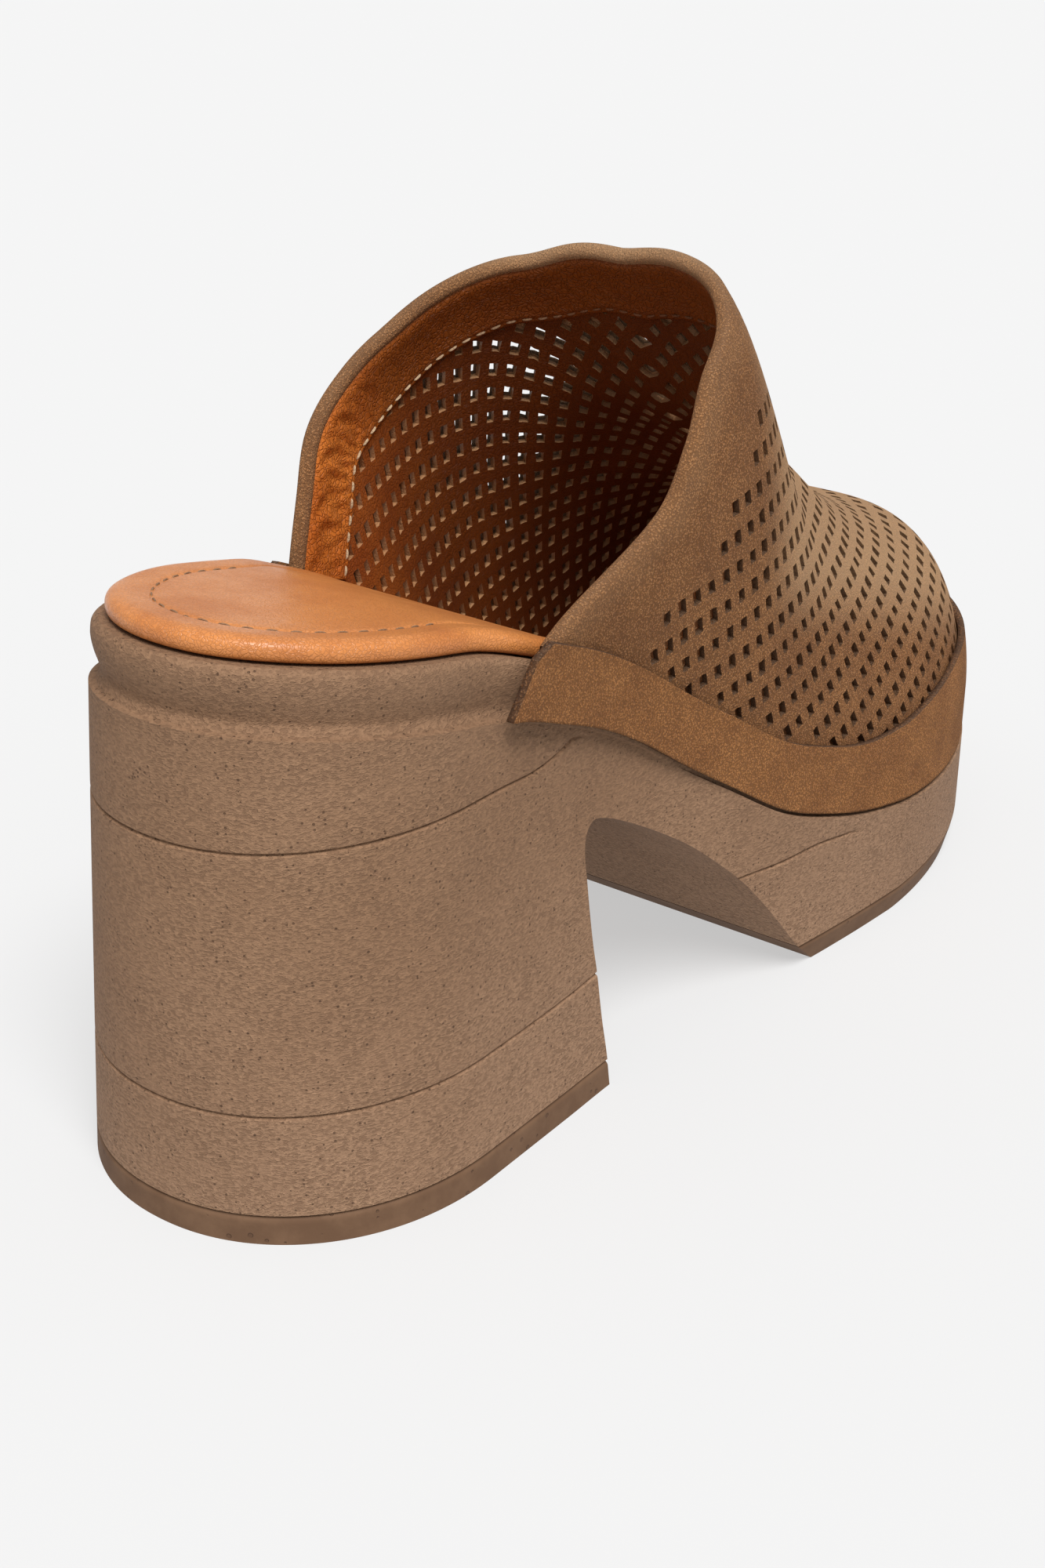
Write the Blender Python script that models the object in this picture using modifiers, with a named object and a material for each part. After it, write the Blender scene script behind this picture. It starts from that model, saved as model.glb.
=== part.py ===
"""Platform mule, right shoe, EU 37: block heel, moulded platform and a hollow suede vamp.

Frame: metres, +Z up, +X to the toe, +Y to the inner side of the foot. The origin lies on
the floor under the middle of the heel. Every section is worked out from the sizes below.
"""
import bpy
import bmesh
import numpy as np

# Overall sizes of the shoe
SOLE_LENGTH = 0.2300
HEEL_BACK = 0.0368
HEEL_WIDTH = 0.0700
HEEL_DEPTH = 0.0736
HEEL_ROUND = 0.0394
HEEL_HEIGHT = 0.0937
BALL_WIDTH = 0.0874
BALL_SHIFT = 0.0006
TOE_SHIFT = 0.0031
FOREFOOT_HEIGHT = 0.0319
TOE_SPRING = 0.0022

# Sole unit
OUTSOLE = 0.0048
ARCH_HEIGHT = 0.0499
TREAD_START = 0.0958
HEEL_BACK_TAPER = 0.0050
HEEL_SIDE_TAPER = 0.0064
TREAD_TUCK = 0.0012
BAND_WIDTH = 0.0103
VALLEY_DEPTH = 0.0013
WAIST_TUCK = 0.0016
LIP = 0.0002

# Upper, its overlay and the insole
UPPER_WALL = 0.0023
COLLAR_HEIGHT = 0.1296
RAND_WALL = 0.0014
RAND_RISE = 0.0036
RAND_TOE_RISE = 0.0105
INSOLE_HEEL = 0.0036
INSOLE_FRONT = 0.0028
INSOLE_LEDGE = 0.0022
GAP = 0.0003

SEAT = GAP + RAND_WALL + LIP
REAR = -HEEL_BACK
TIP = REAR + SOLE_LENGTH

# Height of the feather line: share of the length, share of the heel's extra height
FEATHER = (
    (0.000, 1.000), (0.060, 0.974), (0.100, 0.948), (0.165, 0.902), (0.230, 0.842),
    (0.265, 0.790), (0.300, 0.735), (0.330, 0.680), (0.360, 0.615), (0.415, 0.475),
    (0.460, 0.365), (0.530, 0.200), (0.585, 0.120), (0.630, 0.070), (0.680, 0.034),
    (0.775, 0.000), (0.885, 0.000), (1.000, 0.025),
)

# Growth of the plan from heel to ball: share of the length, outer side, inner side
WAIST = (
    (0.172, 0.000, 0.000), (0.265, -0.05, -0.03), (0.333, -0.09, -0.03), (0.400, 0.03, 0.03),
    (0.489, 0.35, 0.35), (0.561, 0.63, 0.67), (0.606, 0.785, 0.83), (0.646, 0.90, 0.945),
    (0.691, 1.00, 1.00),
)

# Underside between heel and tread: share of the span, share of the arch height
ARCH = (
    (0.000, 0.000), (-0.007, 0.122), (-0.024, 0.271), (-0.038, 0.450), (-0.051, 0.560),
    (-0.061, 0.690), (-0.067, 0.800), (-0.072, 0.890), (-0.066, 0.950), (-0.045, 0.988),
    (-0.010, 1.000), (0.066, 0.966), (0.180, 0.893), (0.297, 0.808), (0.412, 0.713),
    (0.532, 0.591), (0.620, 0.494), (0.709, 0.376), (0.810, 0.231), (0.873, 0.138),
    (0.905, 0.096), (1.000, 0.000),
)

# Rim band: share of the band's width, inset past the taper as share of the valley's depth
RIM = ((0.00, 0.35), (0.13, 1.00), (0.32, 0.75), (0.55, 0.30), (0.80, 0.20), (0.93, 0.50), (1.00, 1.10))

# Ridge of the vamp: share of the length, height over the floor as share of the collar height
RIDGE = (
    (0.176, 1.286), (0.265, 1.207), (0.422, 1.111), (0.534, 1.000), (0.597, 0.793),
    (0.655, 0.705), (0.704, 0.634), (0.749, 0.589), (0.812, 0.545), (0.879, 0.515),
    (0.946, 0.447),
)

# Swell of the vamp's flanks: share of the length, share of the ball width
SWELL = (
    (0.265, 0.069), (0.391, 0.089), (0.480, 0.059), (0.543, 0.000), (0.606, -0.029),
    (0.669, -0.043), (0.781, -0.024), (0.915, -0.012), (1.000, -0.010),
)

# Topline: quarter turns from the side to the ridge, share of the length outside and inside
TOPLINE = (
    (0.000, 0.254, 0.294), (0.095, 0.319, 0.315), (0.190, 0.365, 0.334), (0.318, 0.396, 0.383),
    (0.446, 0.422, 0.437), (0.573, 0.467, 0.487), (0.732, 0.506, 0.523), (1.000, 0.533, 0.533),
)

FLANK_POWER = 0.68
CROWN_POWER = 0.84
TOE_BOX_START = 0.835
TOE_BOX_POWER = 2.05
HEEL_POWER = 2.1


def smooth(rows, column, at):
    """Cubic curve through a table: first column the place, another column the value."""
    table = np.array(rows)
    places, values = table[:, 0], table[:, column]
    step = np.diff(places)
    slope = np.diff(values) / step
    bend = np.empty(len(places))
    bend[0], bend[-1] = slope[0], slope[-1]
    bend[1:-1] = (slope[:-1] * step[1:] + slope[1:] * step[:-1]) / (step[1:] + step[:-1])
    at = np.asarray(at, dtype=float)
    cell = np.clip(np.searchsorted(places, at) - 1, 0, len(step) - 1)
    width = step[cell]
    part = (at - places[cell]) / width
    t = np.clip(part, 0.0, 1.0)
    curve = ((2 * t**3 - 3 * t**2 + 1) * values[cell] + (t**3 - 2 * t**2 + t) * width * bend[cell]
             + (3 * t**2 - 2 * t**3) * values[cell + 1] + (t**3 - t**2) * width * bend[cell + 1])
    before = np.where(part < 0, part * width * bend[0], 0.0)
    after = np.where(part > 1, (part - 1) * width * bend[-1], 0.0)
    return curve + before + after


def ramp(at, start, end):
    """Smooth step from 0 at the start to 1 at the end."""
    t = np.clip((np.asarray(at, dtype=float) - start) / (end - start), 0.0, 1.0)
    return t * t * (3 - 2 * t)


def share(x):
    """Place along the shoe as a share of its length, 0 at the back of the heel."""
    return (np.asarray(x, dtype=float) - REAR) / SOLE_LENGTH


def along(part):
    """Place along the shoe in metres from its share of the length."""
    return REAR + np.asarray(part, dtype=float) * SOLE_LENGTH


def feather(x):
    """Height of the line where the upper meets the footbed."""
    return FOREFOOT_HEIGHT + (HEEL_HEIGHT - FOREFOOT_HEIGHT) * smooth(FEATHER, 1, share(x))


def tread(x):
    """Height of the tread over the floor: flat, then lifted towards the toe."""
    lift = np.clip((share(x) - 0.80) / 0.20, 0.0, 1.0)
    return TOE_SPRING * lift**2


def outline(x, inset, side):
    """Plan of the shoe, moved inwards by an inset: side -1 is the outer side, 1 the inner."""
    x = np.asarray(x, dtype=float)
    heel_half = HEEL_WIDTH / 2
    ball_half = BALL_WIDTH / 2 + side * BALL_SHIFT
    column = 1 if side < 0 else 2
    back = np.clip((REAR + HEEL_ROUND - x) / (HEEL_ROUND - inset), 0.0, 1.0)
    heel = (heel_half - inset) * (1 - back**HEEL_POWER) ** (1 / HEEL_POWER)
    waist = heel_half + (ball_half - heel_half) * smooth(WAIST, column, share(x)) - inset
    ball = along(WAIST[-1][0])
    front = np.clip((x - ball) / (TIP - ball - inset), 0.0, 1.0)
    toe_half = ball_half - side * TOE_SHIFT - inset
    toe = TOE_SHIFT + side * toe_half * np.sqrt(1 - front**2)
    body = np.where(x < REAR + HEEL_ROUND, side * heel, side * waist)
    return np.where(x > ball, toe, body)


def taper(x, z):
    """How far the heel block has drawn in at a height: it flares towards the floor."""
    top = HEEL_BACK_TAPER + (HEEL_SIDE_TAPER - HEEL_BACK_TAPER) * ramp(share(x), 0.0, 0.12)
    return top * (1 - ramp(share(x), 0.36, 0.56)) * z / HEEL_HEIGHT


def wall_inset(x, z):
    """Inset of the sole's wall: the heel's taper, and the tread tucked in at the floor."""
    fore = ramp(share(x), 0.40, 0.55)
    return taper(x, z) + TREAD_TUCK * fore * np.clip(1 - z / OUTSOLE, 0.0, 1.0)


def seat_inset(x):
    """Inset of the outer face of the vamp, and of the sole's wall under the rand."""
    return SEAT + WAIST_TUCK * (1 - ramp(share(x), 0.34, 0.56))


def rim_inset(x, part):
    """Inset of the band below the feather line: a bulged rim that turns into the rand's seat."""
    covered = ramp(share(x), 0.20, 0.27)
    rim = taper(x, feather(x)) + VALLEY_DEPTH * smooth(RIM, 1, part)
    return rim * (1 - covered) + seat_inset(x) * covered


def ridge(x):
    """Height of the vamp's ridge over the floor, outside the toe box."""
    return COLLAR_HEIGHT * smooth(RIDGE, 1, share(x))


def upper_height(x):
    """Height of the vamp over the feather line, closed by the round toe box."""
    start = along(TOE_BOX_START)
    forward = np.clip((x - start) / (TIP - SEAT - start), 0.0, 1.0)
    return (ridge(x) - feather(x)) * (1 - forward**TOE_BOX_POWER) ** (1 / TOE_BOX_POWER)


def upper_point(x, turn):
    """Outer face of the vamp: turn 0 is the outer feather line, pi the inner one."""
    outer = outline(x, seat_inset(x), -1)
    inner = outline(x, seat_inset(x), 1)
    middle, half = (outer + inner) / 2, (inner - outer) / 2
    across = -np.cos(turn)
    swell = BALL_WIDTH * smooth(SWELL, 1, share(x)) * np.abs(np.sin(2 * turn))
    fade = np.clip(half / (BALL_WIDTH * 0.2), 0.0, 1.0)
    y = middle + np.sign(across) * (half * np.abs(across) ** FLANK_POWER + swell * fade)
    z = feather(x) + GAP + upper_height(x) * np.abs(np.sin(turn)) ** CROWN_POWER
    return np.stack([x + 0 * y, y, z], axis=-1)


def topline(turn):
    """Place along the shoe where the vamp starts, for each turn round its section."""
    quarter = np.minimum(turn, np.pi - turn) / (np.pi / 2)
    outer = smooth(TOPLINE, 1, quarter)
    inner = smooth(TOPLINE, 2, quarter)
    return along(np.where(turn < np.pi / 2, outer, inner))


def material(name, colour, roughness):
    """Plain Principled material with the part's own colour and roughness."""
    made = bpy.data.materials.new(name)
    made.use_nodes = True
    shader = made.node_tree.nodes["Principled BSDF"]
    shader.inputs["Base Color"].default_value = (*colour, 1.0)
    shader.inputs["Roughness"].default_value = roughness
    shader.inputs["Metallic"].default_value = 0.0
    return made


def mesh_object(name, points, faces, look, collection):
    """Object from points and faces, with double points welded and faces turned outwards."""
    mesh = bpy.data.meshes.new(name)
    mesh.from_pydata([tuple(p) for p in points], [], faces)
    work = bmesh.new()
    work.from_mesh(mesh)
    bmesh.ops.remove_doubles(work, verts=work.verts, dist=1e-6)
    bmesh.ops.recalc_face_normals(work, faces=work.faces)
    work.to_mesh(mesh)
    work.free()
    mesh.shade_smooth()
    mesh.set_sharp_from_angle(angle=np.radians(40))
    mesh.materials.append(look)
    made = bpy.data.objects.new(name, mesh)
    collection.objects.link(made)
    return made


def loft(name, rings, look, collection):
    """Closed solid through rings of equal count, each one outer side then inner side."""
    count = len(rings[0])
    stations = count // 2
    points = np.concatenate(rings)
    faces = []
    for level in range(len(rings) - 1):
        low, high = level * count, (level + 1) * count
        for k in range(count):
            after = (k + 1) % count
            faces.append((low + k, low + after, high + after, high + k))
    for base in (0, (len(rings) - 1) * count):
        for k in range(stations - 1):
            faces.append((base + k, base + k + 1, base + count - 2 - k, base + count - 1 - k))
    return mesh_object(name, points, faces, look, collection)


def sheet(name, grid, look, collection, wall, outwards):
    """Open surface from a grid of points, given its wall by a Solidify modifier."""
    rows, columns = grid.shape[:2]
    faces = []
    for i in range(rows - 1):
        for j in range(columns - 1):
            k = i * columns + j
            faces.append((k, k + 1, k + columns + 1, k + columns))
    made = mesh_object(name, grid.reshape(-1, 3), faces, look, collection)
    solid = made.modifiers.new("Wall", "SOLIDIFY")
    solid.thickness = wall
    solid.offset = outwards
    solid.use_even_offset = True
    return made


def stations(start, end, count, round_start, round_end):
    """Places along the shoe, closer together towards each round end."""
    t = np.linspace(0.0, 1.0, count)
    if round_start and round_end:
        t = (1 - np.cos(np.pi * t)) / 2
    elif round_end:
        t = np.sin(np.pi / 2 * t)
    elif round_start:
        t = 1 - np.cos(np.pi / 2 * t)
    return start + (end - start) * t


def ring(x, inset, z):
    """One ring of a sole piece: the outer side from heel to toe, then the inner side back."""
    outer = np.stack([x, outline(x, inset, -1), z + 0 * x], axis=-1)
    inner = np.stack([x, outline(x, inset, 1), z + 0 * x], axis=-1)
    return np.concatenate([outer, inner[::-1]])


def ring_ends(inset_of):
    """Ends of a ring on the centre line: each lies at its own inset from the plan's end."""
    start, end = REAR, TIP
    for _ in range(12):
        start, end = REAR + float(inset_of(start)), TIP - float(inset_of(end))
    return start, end


def full_ring(inset_of, z_of, count=40):
    """Ring round the whole shoe, with inset and height as functions of the place along it."""
    start, end = ring_ends(inset_of)
    x = stations(start, end, count, True, True)
    inset = inset_of(x)
    inset[0], inset[-1] = start - REAR, TIP - end
    return ring(x, inset, z_of(x))


def arch_edge(z, rear):
    """Place of the breast or of the tread's back face at a height just over the floor."""
    table = np.array(ARCH[:3] if rear else ARCH[::-1][:3])
    part = np.interp(z / ARCH_HEIGHT, table[:, 1], table[:, 0])
    breast = REAR + HEEL_DEPTH
    return breast + part * (TREAD_START - breast)


def outsole_rings(rear):
    """Rings of a tread strip: flat underneath, tucked in at the floor."""
    rings = []
    for z in (0.0, OUTSOLE * 0.5, OUTSOLE):
        start, end = ring_ends(lambda x, z=z: wall_inset(x, z))
        edge = arch_edge(z, rear)
        if rear:
            x = stations(start, edge, 20, True, False)
        else:
            x = stations(edge, end, 26, False, True)
        inset = wall_inset(x, z)
        inset[0 if rear else -1] = start - REAR if rear else TIP - end
        rings.append(ring(x, inset, z + tread(x)))
    return rings


def sole_rings():
    """Rings of the sole unit: body from the tread to the band, then the band to the feather."""
    rings = []
    bottom = OUTSOLE + GAP
    for part in (0.0, 0.2, 0.4, 0.6, 0.8, 0.93, 1.0):
        def height(x, part=part):
            low = bottom + tread(x)
            return low + (feather(x) - BAND_WIDTH - low) * part

        def inset(x, part=part, height=height):
            return wall_inset(x, height(x))

        rings.append(full_ring(inset, height))
    for part, _ in RIM:
        def height(x, part=part):
            step = GAP * (1 - part)
            return feather(x) - BAND_WIDTH * (1 - part) + step

        def inset(x, part=part):
            return rim_inset(x, part)

        rings.append(full_ring(inset, height))
    return rings


def insole_inset(x):
    """Inset of the insole: close to the rim at the heel, inside the upper's wall in front."""
    on_rim = taper(x, feather(x)) + VALLEY_DEPTH * RIM[-3][1] + INSOLE_LEDGE
    in_upper = seat_inset(x) + UPPER_WALL + 2 * GAP
    return on_rim + (in_upper - on_rim) * ramp(share(x), 0.20, 0.25)


def insole_rings():
    """Rings of the padded insole: a rolled edge over the rim and a slightly dished top."""
    profile = ((0.30, 0.0), (0.06, 0.14), (0.0, 0.45), (0.08, 0.72), (0.28, 0.90), (0.62, 1.0), (1.1, 0.97))
    rings = []
    for pull, lift in profile:
        def thick(x):
            front = ramp(share(x), 0.20, 0.45)
            return INSOLE_HEEL + (INSOLE_FRONT - INSOLE_HEEL) * front

        def height(x, lift=lift):
            return feather(x) + GAP + thick(x) * lift

        def inset(x, pull=pull):
            return insole_inset(x) + thick(x) * pull

        rings.append(full_ring(inset, height))
    return rings


def upper_grid(rows=42, columns=37):
    """Grid of the vamp's outer face from the topline to the tip of the toe."""
    turn = np.pi * stations(0.0, 1.0, columns, False, False)[None, :]
    start = topline(turn)
    forward = stations(0.0, 1.0, rows, False, True)[:, None]
    x = start + (TIP - SEAT - start) * forward
    return upper_point(x, turn + 0 * x)


def rand_rise(x):
    """Height of the rand's upper edge over the feather line: low at the waist, high at the toe."""
    return RAND_RISE + (RAND_TOE_RISE - RAND_RISE) * ramp(share(x), 0.60, 0.85)


def rand_start(level, side):
    """Where a line of the rand starts: its end leans from the band up to the topline."""
    lean = np.interp(level, (-1.0, 0.0, 1.0), (-0.0460, -0.0200, -0.0020))
    return along(TOPLINE[0][1 if side < 0 else 2] + lean)


def rand_line(level, count):
    """One line of the rand round the toe: level -1 to 0 on the sole's seat, 0 to 1 on the vamp."""
    steps = np.sin(np.pi / 2 * np.linspace(0.0, 1.0, count))
    tip = TIP - SEAT
    if level > 0:
        probe = np.linspace(along(0.90), TIP - SEAT, 600)
        tip = np.interp(0.0, level * rand_rise(probe) - upper_height(probe), probe)
    line = []
    for side in (-1, 1):
        start = rand_start(level, side)
        x = start + (tip - start) * steps
        if level > 0:
            part = np.clip(level * rand_rise(x) / upper_height(x), 0.0, 1.0)
            part[-1] = 1.0
            turn = np.arcsin(part ** (1 / CROWN_POWER))
            points = upper_point(x, turn if side < 0 else np.pi - turn)
        else:
            inset = np.minimum(rim_inset(x, 1 + level), seat_inset(x))
            inset[-1] = SEAT
            z = feather(x) + (BAND_WIDTH - 3 * GAP) * level
            points = np.stack([x, outline(x, inset, side), z], axis=-1)
        line.append(points if side < 0 else points[::-1][1:])
    return np.concatenate(line)


def grid_normals(grid):
    """Unit normals of a grid from its neighbouring points."""
    across = np.cross(np.gradient(grid, axis=0), np.gradient(grid, axis=1))
    return across / np.linalg.norm(across, axis=2, keepdims=True)


def rand_grid(count=30):
    """Inner face of the rand, one gap outside the sole's seat and the vamp."""
    grid = np.stack([rand_line(level, count) for level in (-1.0, -0.65, -0.3, 0.0, 0.35, 0.7, 1.0)])
    normals = grid_normals(grid)
    middle = grid.shape[1] // 2
    if normals[2, middle, 0] < 0:
        normals = -normals
    return grid + normals * GAP


def build():
    """Make every sub-part of the mule in its own object."""
    for old in list(bpy.data.objects):
        bpy.data.objects.remove(old)
    shoe = bpy.data.collections.new("platform_mule")
    cutters = bpy.data.collections.new("cutters")
    bpy.context.scene.collection.children.link(shoe)
    bpy.context.scene.collection.children.link(cutters)

    moulded = material("moulded_sole", (0.30, 0.205, 0.130), 0.75)
    rubber = material("outsole_rubber", (0.245, 0.160, 0.095), 0.6)
    leather = material("insole_leather", (0.50, 0.215, 0.085), 0.42)
    suede = material("suede", (0.36, 0.195, 0.085), 0.9)
    rand_suede = material("rand_suede", (0.40, 0.200, 0.080), 0.9)

    loft("outsole_heel", outsole_rings(True), rubber, shoe)
    loft("outsole_forefoot", outsole_rings(False), rubber, shoe)

    sole = loft("sole_unit", sole_rings(), moulded, shoe)
    breast = REAR + HEEL_DEPTH
    span = TREAD_START - breast
    profile = [(breast + a * span, b * ARCH_HEIGHT) for a, b in ARCH]
    profile = [(breast, -OUTSOLE)] + profile + [(TREAD_START, -OUTSOLE)]
    flat = bpy.data.curves.new("arch_profile", "CURVE")
    flat.dimensions = "2D"
    flat.fill_mode = "BOTH"
    flat.extrude = BALL_WIDTH
    line = flat.splines.new("POLY")
    line.points.add(len(profile) - 1)
    for point, (x, z) in zip(line.points, profile):
        point.co = (x, z, 0.0, 1.0)
    line.use_cyclic_u = True
    guide = bpy.data.objects.new("arch_guide", flat)
    guide.rotation_euler = (np.pi / 2, 0.0, 0.0)
    cutters.objects.link(guide)
    bpy.context.view_layer.update()
    graph = bpy.context.evaluated_depsgraph_get()
    solid = bpy.data.meshes.new_from_object(guide.evaluated_get(graph))
    work = bmesh.new()
    work.from_mesh(solid)
    bmesh.ops.remove_doubles(work, verts=work.verts, dist=1e-6)
    bmesh.ops.recalc_face_normals(work, faces=work.faces)
    work.to_mesh(solid)
    work.free()
    cutter = bpy.data.objects.new("arch_cutter", solid)
    cutter.matrix_world = guide.matrix_world
    cutters.objects.link(cutter)
    bpy.data.objects.remove(guide)
    cutter.hide_render = True
    cutter.display_type = "WIRE"
    cut = sole.modifiers.new("Arch", "BOOLEAN")
    cut.operation = "DIFFERENCE"
    cut.object = cutter

    loft("insole", insole_rings(), leather, shoe)
    sheet("upper", upper_grid(), suede, shoe, UPPER_WALL, -1.0)
    sheet("rand", rand_grid(), rand_suede, shoe, RAND_WALL, 1.0)


build()
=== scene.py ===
# %% [markdown]
# # A platform mule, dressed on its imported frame
#
# The shoe is a right mule for a woman's foot: a block heel and a platform moulded in one foam unit,
# a padded leather insole, and a suede vamp full of small square holes, open at the back. A suede
# rand is wrapped over the joint of vamp and sole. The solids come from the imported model. This file
# gives them their finish, cell by cell, and prints what each cell made.

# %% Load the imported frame
import bmesh
import bpy
import numpy as np
from mathutils import Matrix, Vector
from mathutils.geometry import delaunay_2d_cdt


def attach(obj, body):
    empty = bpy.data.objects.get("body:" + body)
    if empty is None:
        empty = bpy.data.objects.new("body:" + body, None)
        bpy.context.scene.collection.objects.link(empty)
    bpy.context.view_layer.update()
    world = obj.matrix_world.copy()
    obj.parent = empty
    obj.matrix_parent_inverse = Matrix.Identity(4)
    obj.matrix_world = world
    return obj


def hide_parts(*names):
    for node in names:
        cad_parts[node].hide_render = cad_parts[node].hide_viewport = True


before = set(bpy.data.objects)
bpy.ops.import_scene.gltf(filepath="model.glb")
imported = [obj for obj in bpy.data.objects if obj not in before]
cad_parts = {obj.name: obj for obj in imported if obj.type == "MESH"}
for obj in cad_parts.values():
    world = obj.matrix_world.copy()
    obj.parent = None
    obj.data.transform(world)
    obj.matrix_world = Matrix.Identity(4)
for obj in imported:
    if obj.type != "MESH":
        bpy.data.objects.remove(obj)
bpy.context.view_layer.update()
MM = 0.001
print("solids:", sorted(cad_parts))

# %% [markdown]
# ## The last, as a few sizes and functions
#
# A shoe is drawn round a last. Here the last is a set of named sizes and short tables, the same
# ones that made the solids, so every fine surface lies exactly where its solid does. Heights and
# widths are cubic curves through the tables, and the plan is built from three arcs: a round heel,
# a waist that grows to the ball, and an oval toe.

# %% Sizes of the last, in metres
SOLE_LENGTH = 0.2300
HEEL_BACK = 0.0368
HEEL_WIDTH = 0.0700
HEEL_DEPTH = 0.0736
HEEL_ROUND = 0.0394
HEEL_HEIGHT = 0.0937
BALL_WIDTH = 0.0874
BALL_SHIFT = 0.0006
TOE_SHIFT = 0.0031
FOREFOOT_HEIGHT = 0.0319
TOE_SPRING = 0.0022

OUTSOLE = 0.0048
ARCH_HEIGHT = 0.0499
TREAD_START = 0.0958
HEEL_BACK_TAPER = 0.0050
HEEL_SIDE_TAPER = 0.0064
TREAD_TUCK = 0.0012
BAND_WIDTH = 0.0103
VALLEY_DEPTH = 0.0013
WAIST_TUCK = 0.0016
LIP = 0.0002

UPPER_WALL = 0.0023
COLLAR_HEIGHT = 0.1296
RAND_WALL = 0.0014
RAND_RISE = 0.0036
RAND_TOE_RISE = 0.0105
INSOLE_HEEL = 0.0036
INSOLE_FRONT = 0.0028
INSOLE_LEDGE = 0.0022
GAP = 0.0003

SEAT = GAP + RAND_WALL + LIP
REAR = -HEEL_BACK
TIP = REAR + SOLE_LENGTH

# Height of the feather line: share of the length, share of the heel's extra height
FEATHER = (
    (0.000, 1.000), (0.060, 0.974), (0.100, 0.948), (0.165, 0.902), (0.230, 0.842),
    (0.265, 0.790), (0.300, 0.735), (0.330, 0.680), (0.360, 0.615), (0.415, 0.475),
    (0.460, 0.365), (0.530, 0.200), (0.585, 0.120), (0.630, 0.070), (0.680, 0.034),
    (0.775, 0.000), (0.885, 0.000), (1.000, 0.025),
)

# Growth of the plan from heel to ball: share of the length, outer side, inner side
WAIST = (
    (0.172, 0.000, 0.000), (0.265, -0.05, -0.03), (0.333, -0.09, -0.03), (0.400, 0.03, 0.03),
    (0.489, 0.35, 0.35), (0.561, 0.63, 0.67), (0.606, 0.785, 0.83), (0.646, 0.90, 0.945),
    (0.691, 1.00, 1.00),
)

# Underside between heel and tread: share of the span, share of the arch height
ARCH = (
    (0.000, 0.000), (-0.007, 0.122), (-0.024, 0.271), (-0.038, 0.450), (-0.051, 0.560),
    (-0.061, 0.690), (-0.067, 0.800), (-0.072, 0.890), (-0.066, 0.950), (-0.045, 0.988),
    (-0.010, 1.000), (0.066, 0.966), (0.180, 0.893), (0.297, 0.808), (0.412, 0.713),
    (0.532, 0.591), (0.620, 0.494), (0.709, 0.376), (0.810, 0.231), (0.873, 0.138),
    (0.905, 0.096), (1.000, 0.000),
)

# Rim band: share of the band's width, inset past the taper as share of the valley's depth
RIM = ((0.00, 0.35), (0.13, 1.00), (0.32, 0.75), (0.55, 0.30), (0.80, 0.20), (0.93, 0.50), (1.00, 1.10))

# Ridge of the vamp: share of the length, height over the floor as share of the collar height
RIDGE = (
    (0.176, 1.286), (0.265, 1.207), (0.422, 1.111), (0.534, 1.000), (0.597, 0.793),
    (0.655, 0.705), (0.704, 0.634), (0.749, 0.589), (0.812, 0.545), (0.879, 0.515),
    (0.946, 0.447),
)

# Swell of the vamp's flanks: share of the length, share of the ball width
SWELL = (
    (0.265, 0.069), (0.391, 0.089), (0.480, 0.059), (0.543, 0.000), (0.606, -0.029),
    (0.669, -0.043), (0.781, -0.024), (0.915, -0.012), (1.000, -0.010),
)

# Topline: quarter turns from the side to the ridge, share of the length outside and inside
TOPLINE = (
    (0.000, 0.254, 0.294), (0.095, 0.319, 0.315), (0.190, 0.365, 0.334), (0.318, 0.396, 0.383),
    (0.446, 0.422, 0.437), (0.573, 0.467, 0.487), (0.732, 0.506, 0.523), (1.000, 0.533, 0.533),
)

FLANK_POWER = 0.68
CROWN_POWER = 0.84
TOE_BOX_START = 0.835
TOE_BOX_POWER = 2.05
HEEL_POWER = 2.1

# %% [markdown]
# ## Smooth curves from a few rows
#
# A last maker bends a thin strip through a few marks to draw a fair curve. A cubic through a
# table's rows does the same: it passes through every mark, and its slope there is shared by the
# spans on both sides. Straight spans would show as facets on a smooth sole. Two small shapes, a
# smooth step and a bell, are enough to fade one form into another.

# %% Curves through the tables


def smooth(rows, column, at):
    """Cubic curve through a table, its slope at a row the weighted mean of the spans beside it."""
    table = np.array(rows)
    places, values = table[:, 0], table[:, column]
    step = np.diff(places)
    slope = np.diff(values) / step
    bend = np.empty(len(places))
    bend[0], bend[-1] = slope[0], slope[-1]
    bend[1:-1] = (slope[:-1] * step[1:] + slope[1:] * step[:-1]) / (step[1:] + step[:-1])
    at = np.asarray(at, dtype=float)
    cell = np.clip(np.searchsorted(places, at) - 1, 0, len(step) - 1)
    width = step[cell]
    part = (at - places[cell]) / width
    t = np.clip(part, 0.0, 1.0)
    curve = ((2 * t**3 - 3 * t**2 + 1) * values[cell] + (t**3 - 2 * t**2 + t) * width * bend[cell]
             + (3 * t**2 - 2 * t**3) * values[cell + 1] + (t**3 - t**2) * width * bend[cell + 1])
    before = np.where(part < 0, part * width * bend[0], 0.0)
    after = np.where(part > 1, (part - 1) * width * bend[-1], 0.0)
    return curve + before + after


def ramp(at, start, end):
    """Smooth step from 0 at the start to 1 at the end: 3t squared less 2t cubed."""
    t = np.clip((np.asarray(at, dtype=float) - start) / (end - start), 0.0, 1.0)
    return t * t * (3 - 2 * t)


def bump(at, centre, width):
    """Bell curve of height 1 at the centre: e to the minus squared distance over width."""
    return np.exp(-((np.asarray(at, dtype=float) - centre) / width) ** 2)


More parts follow.
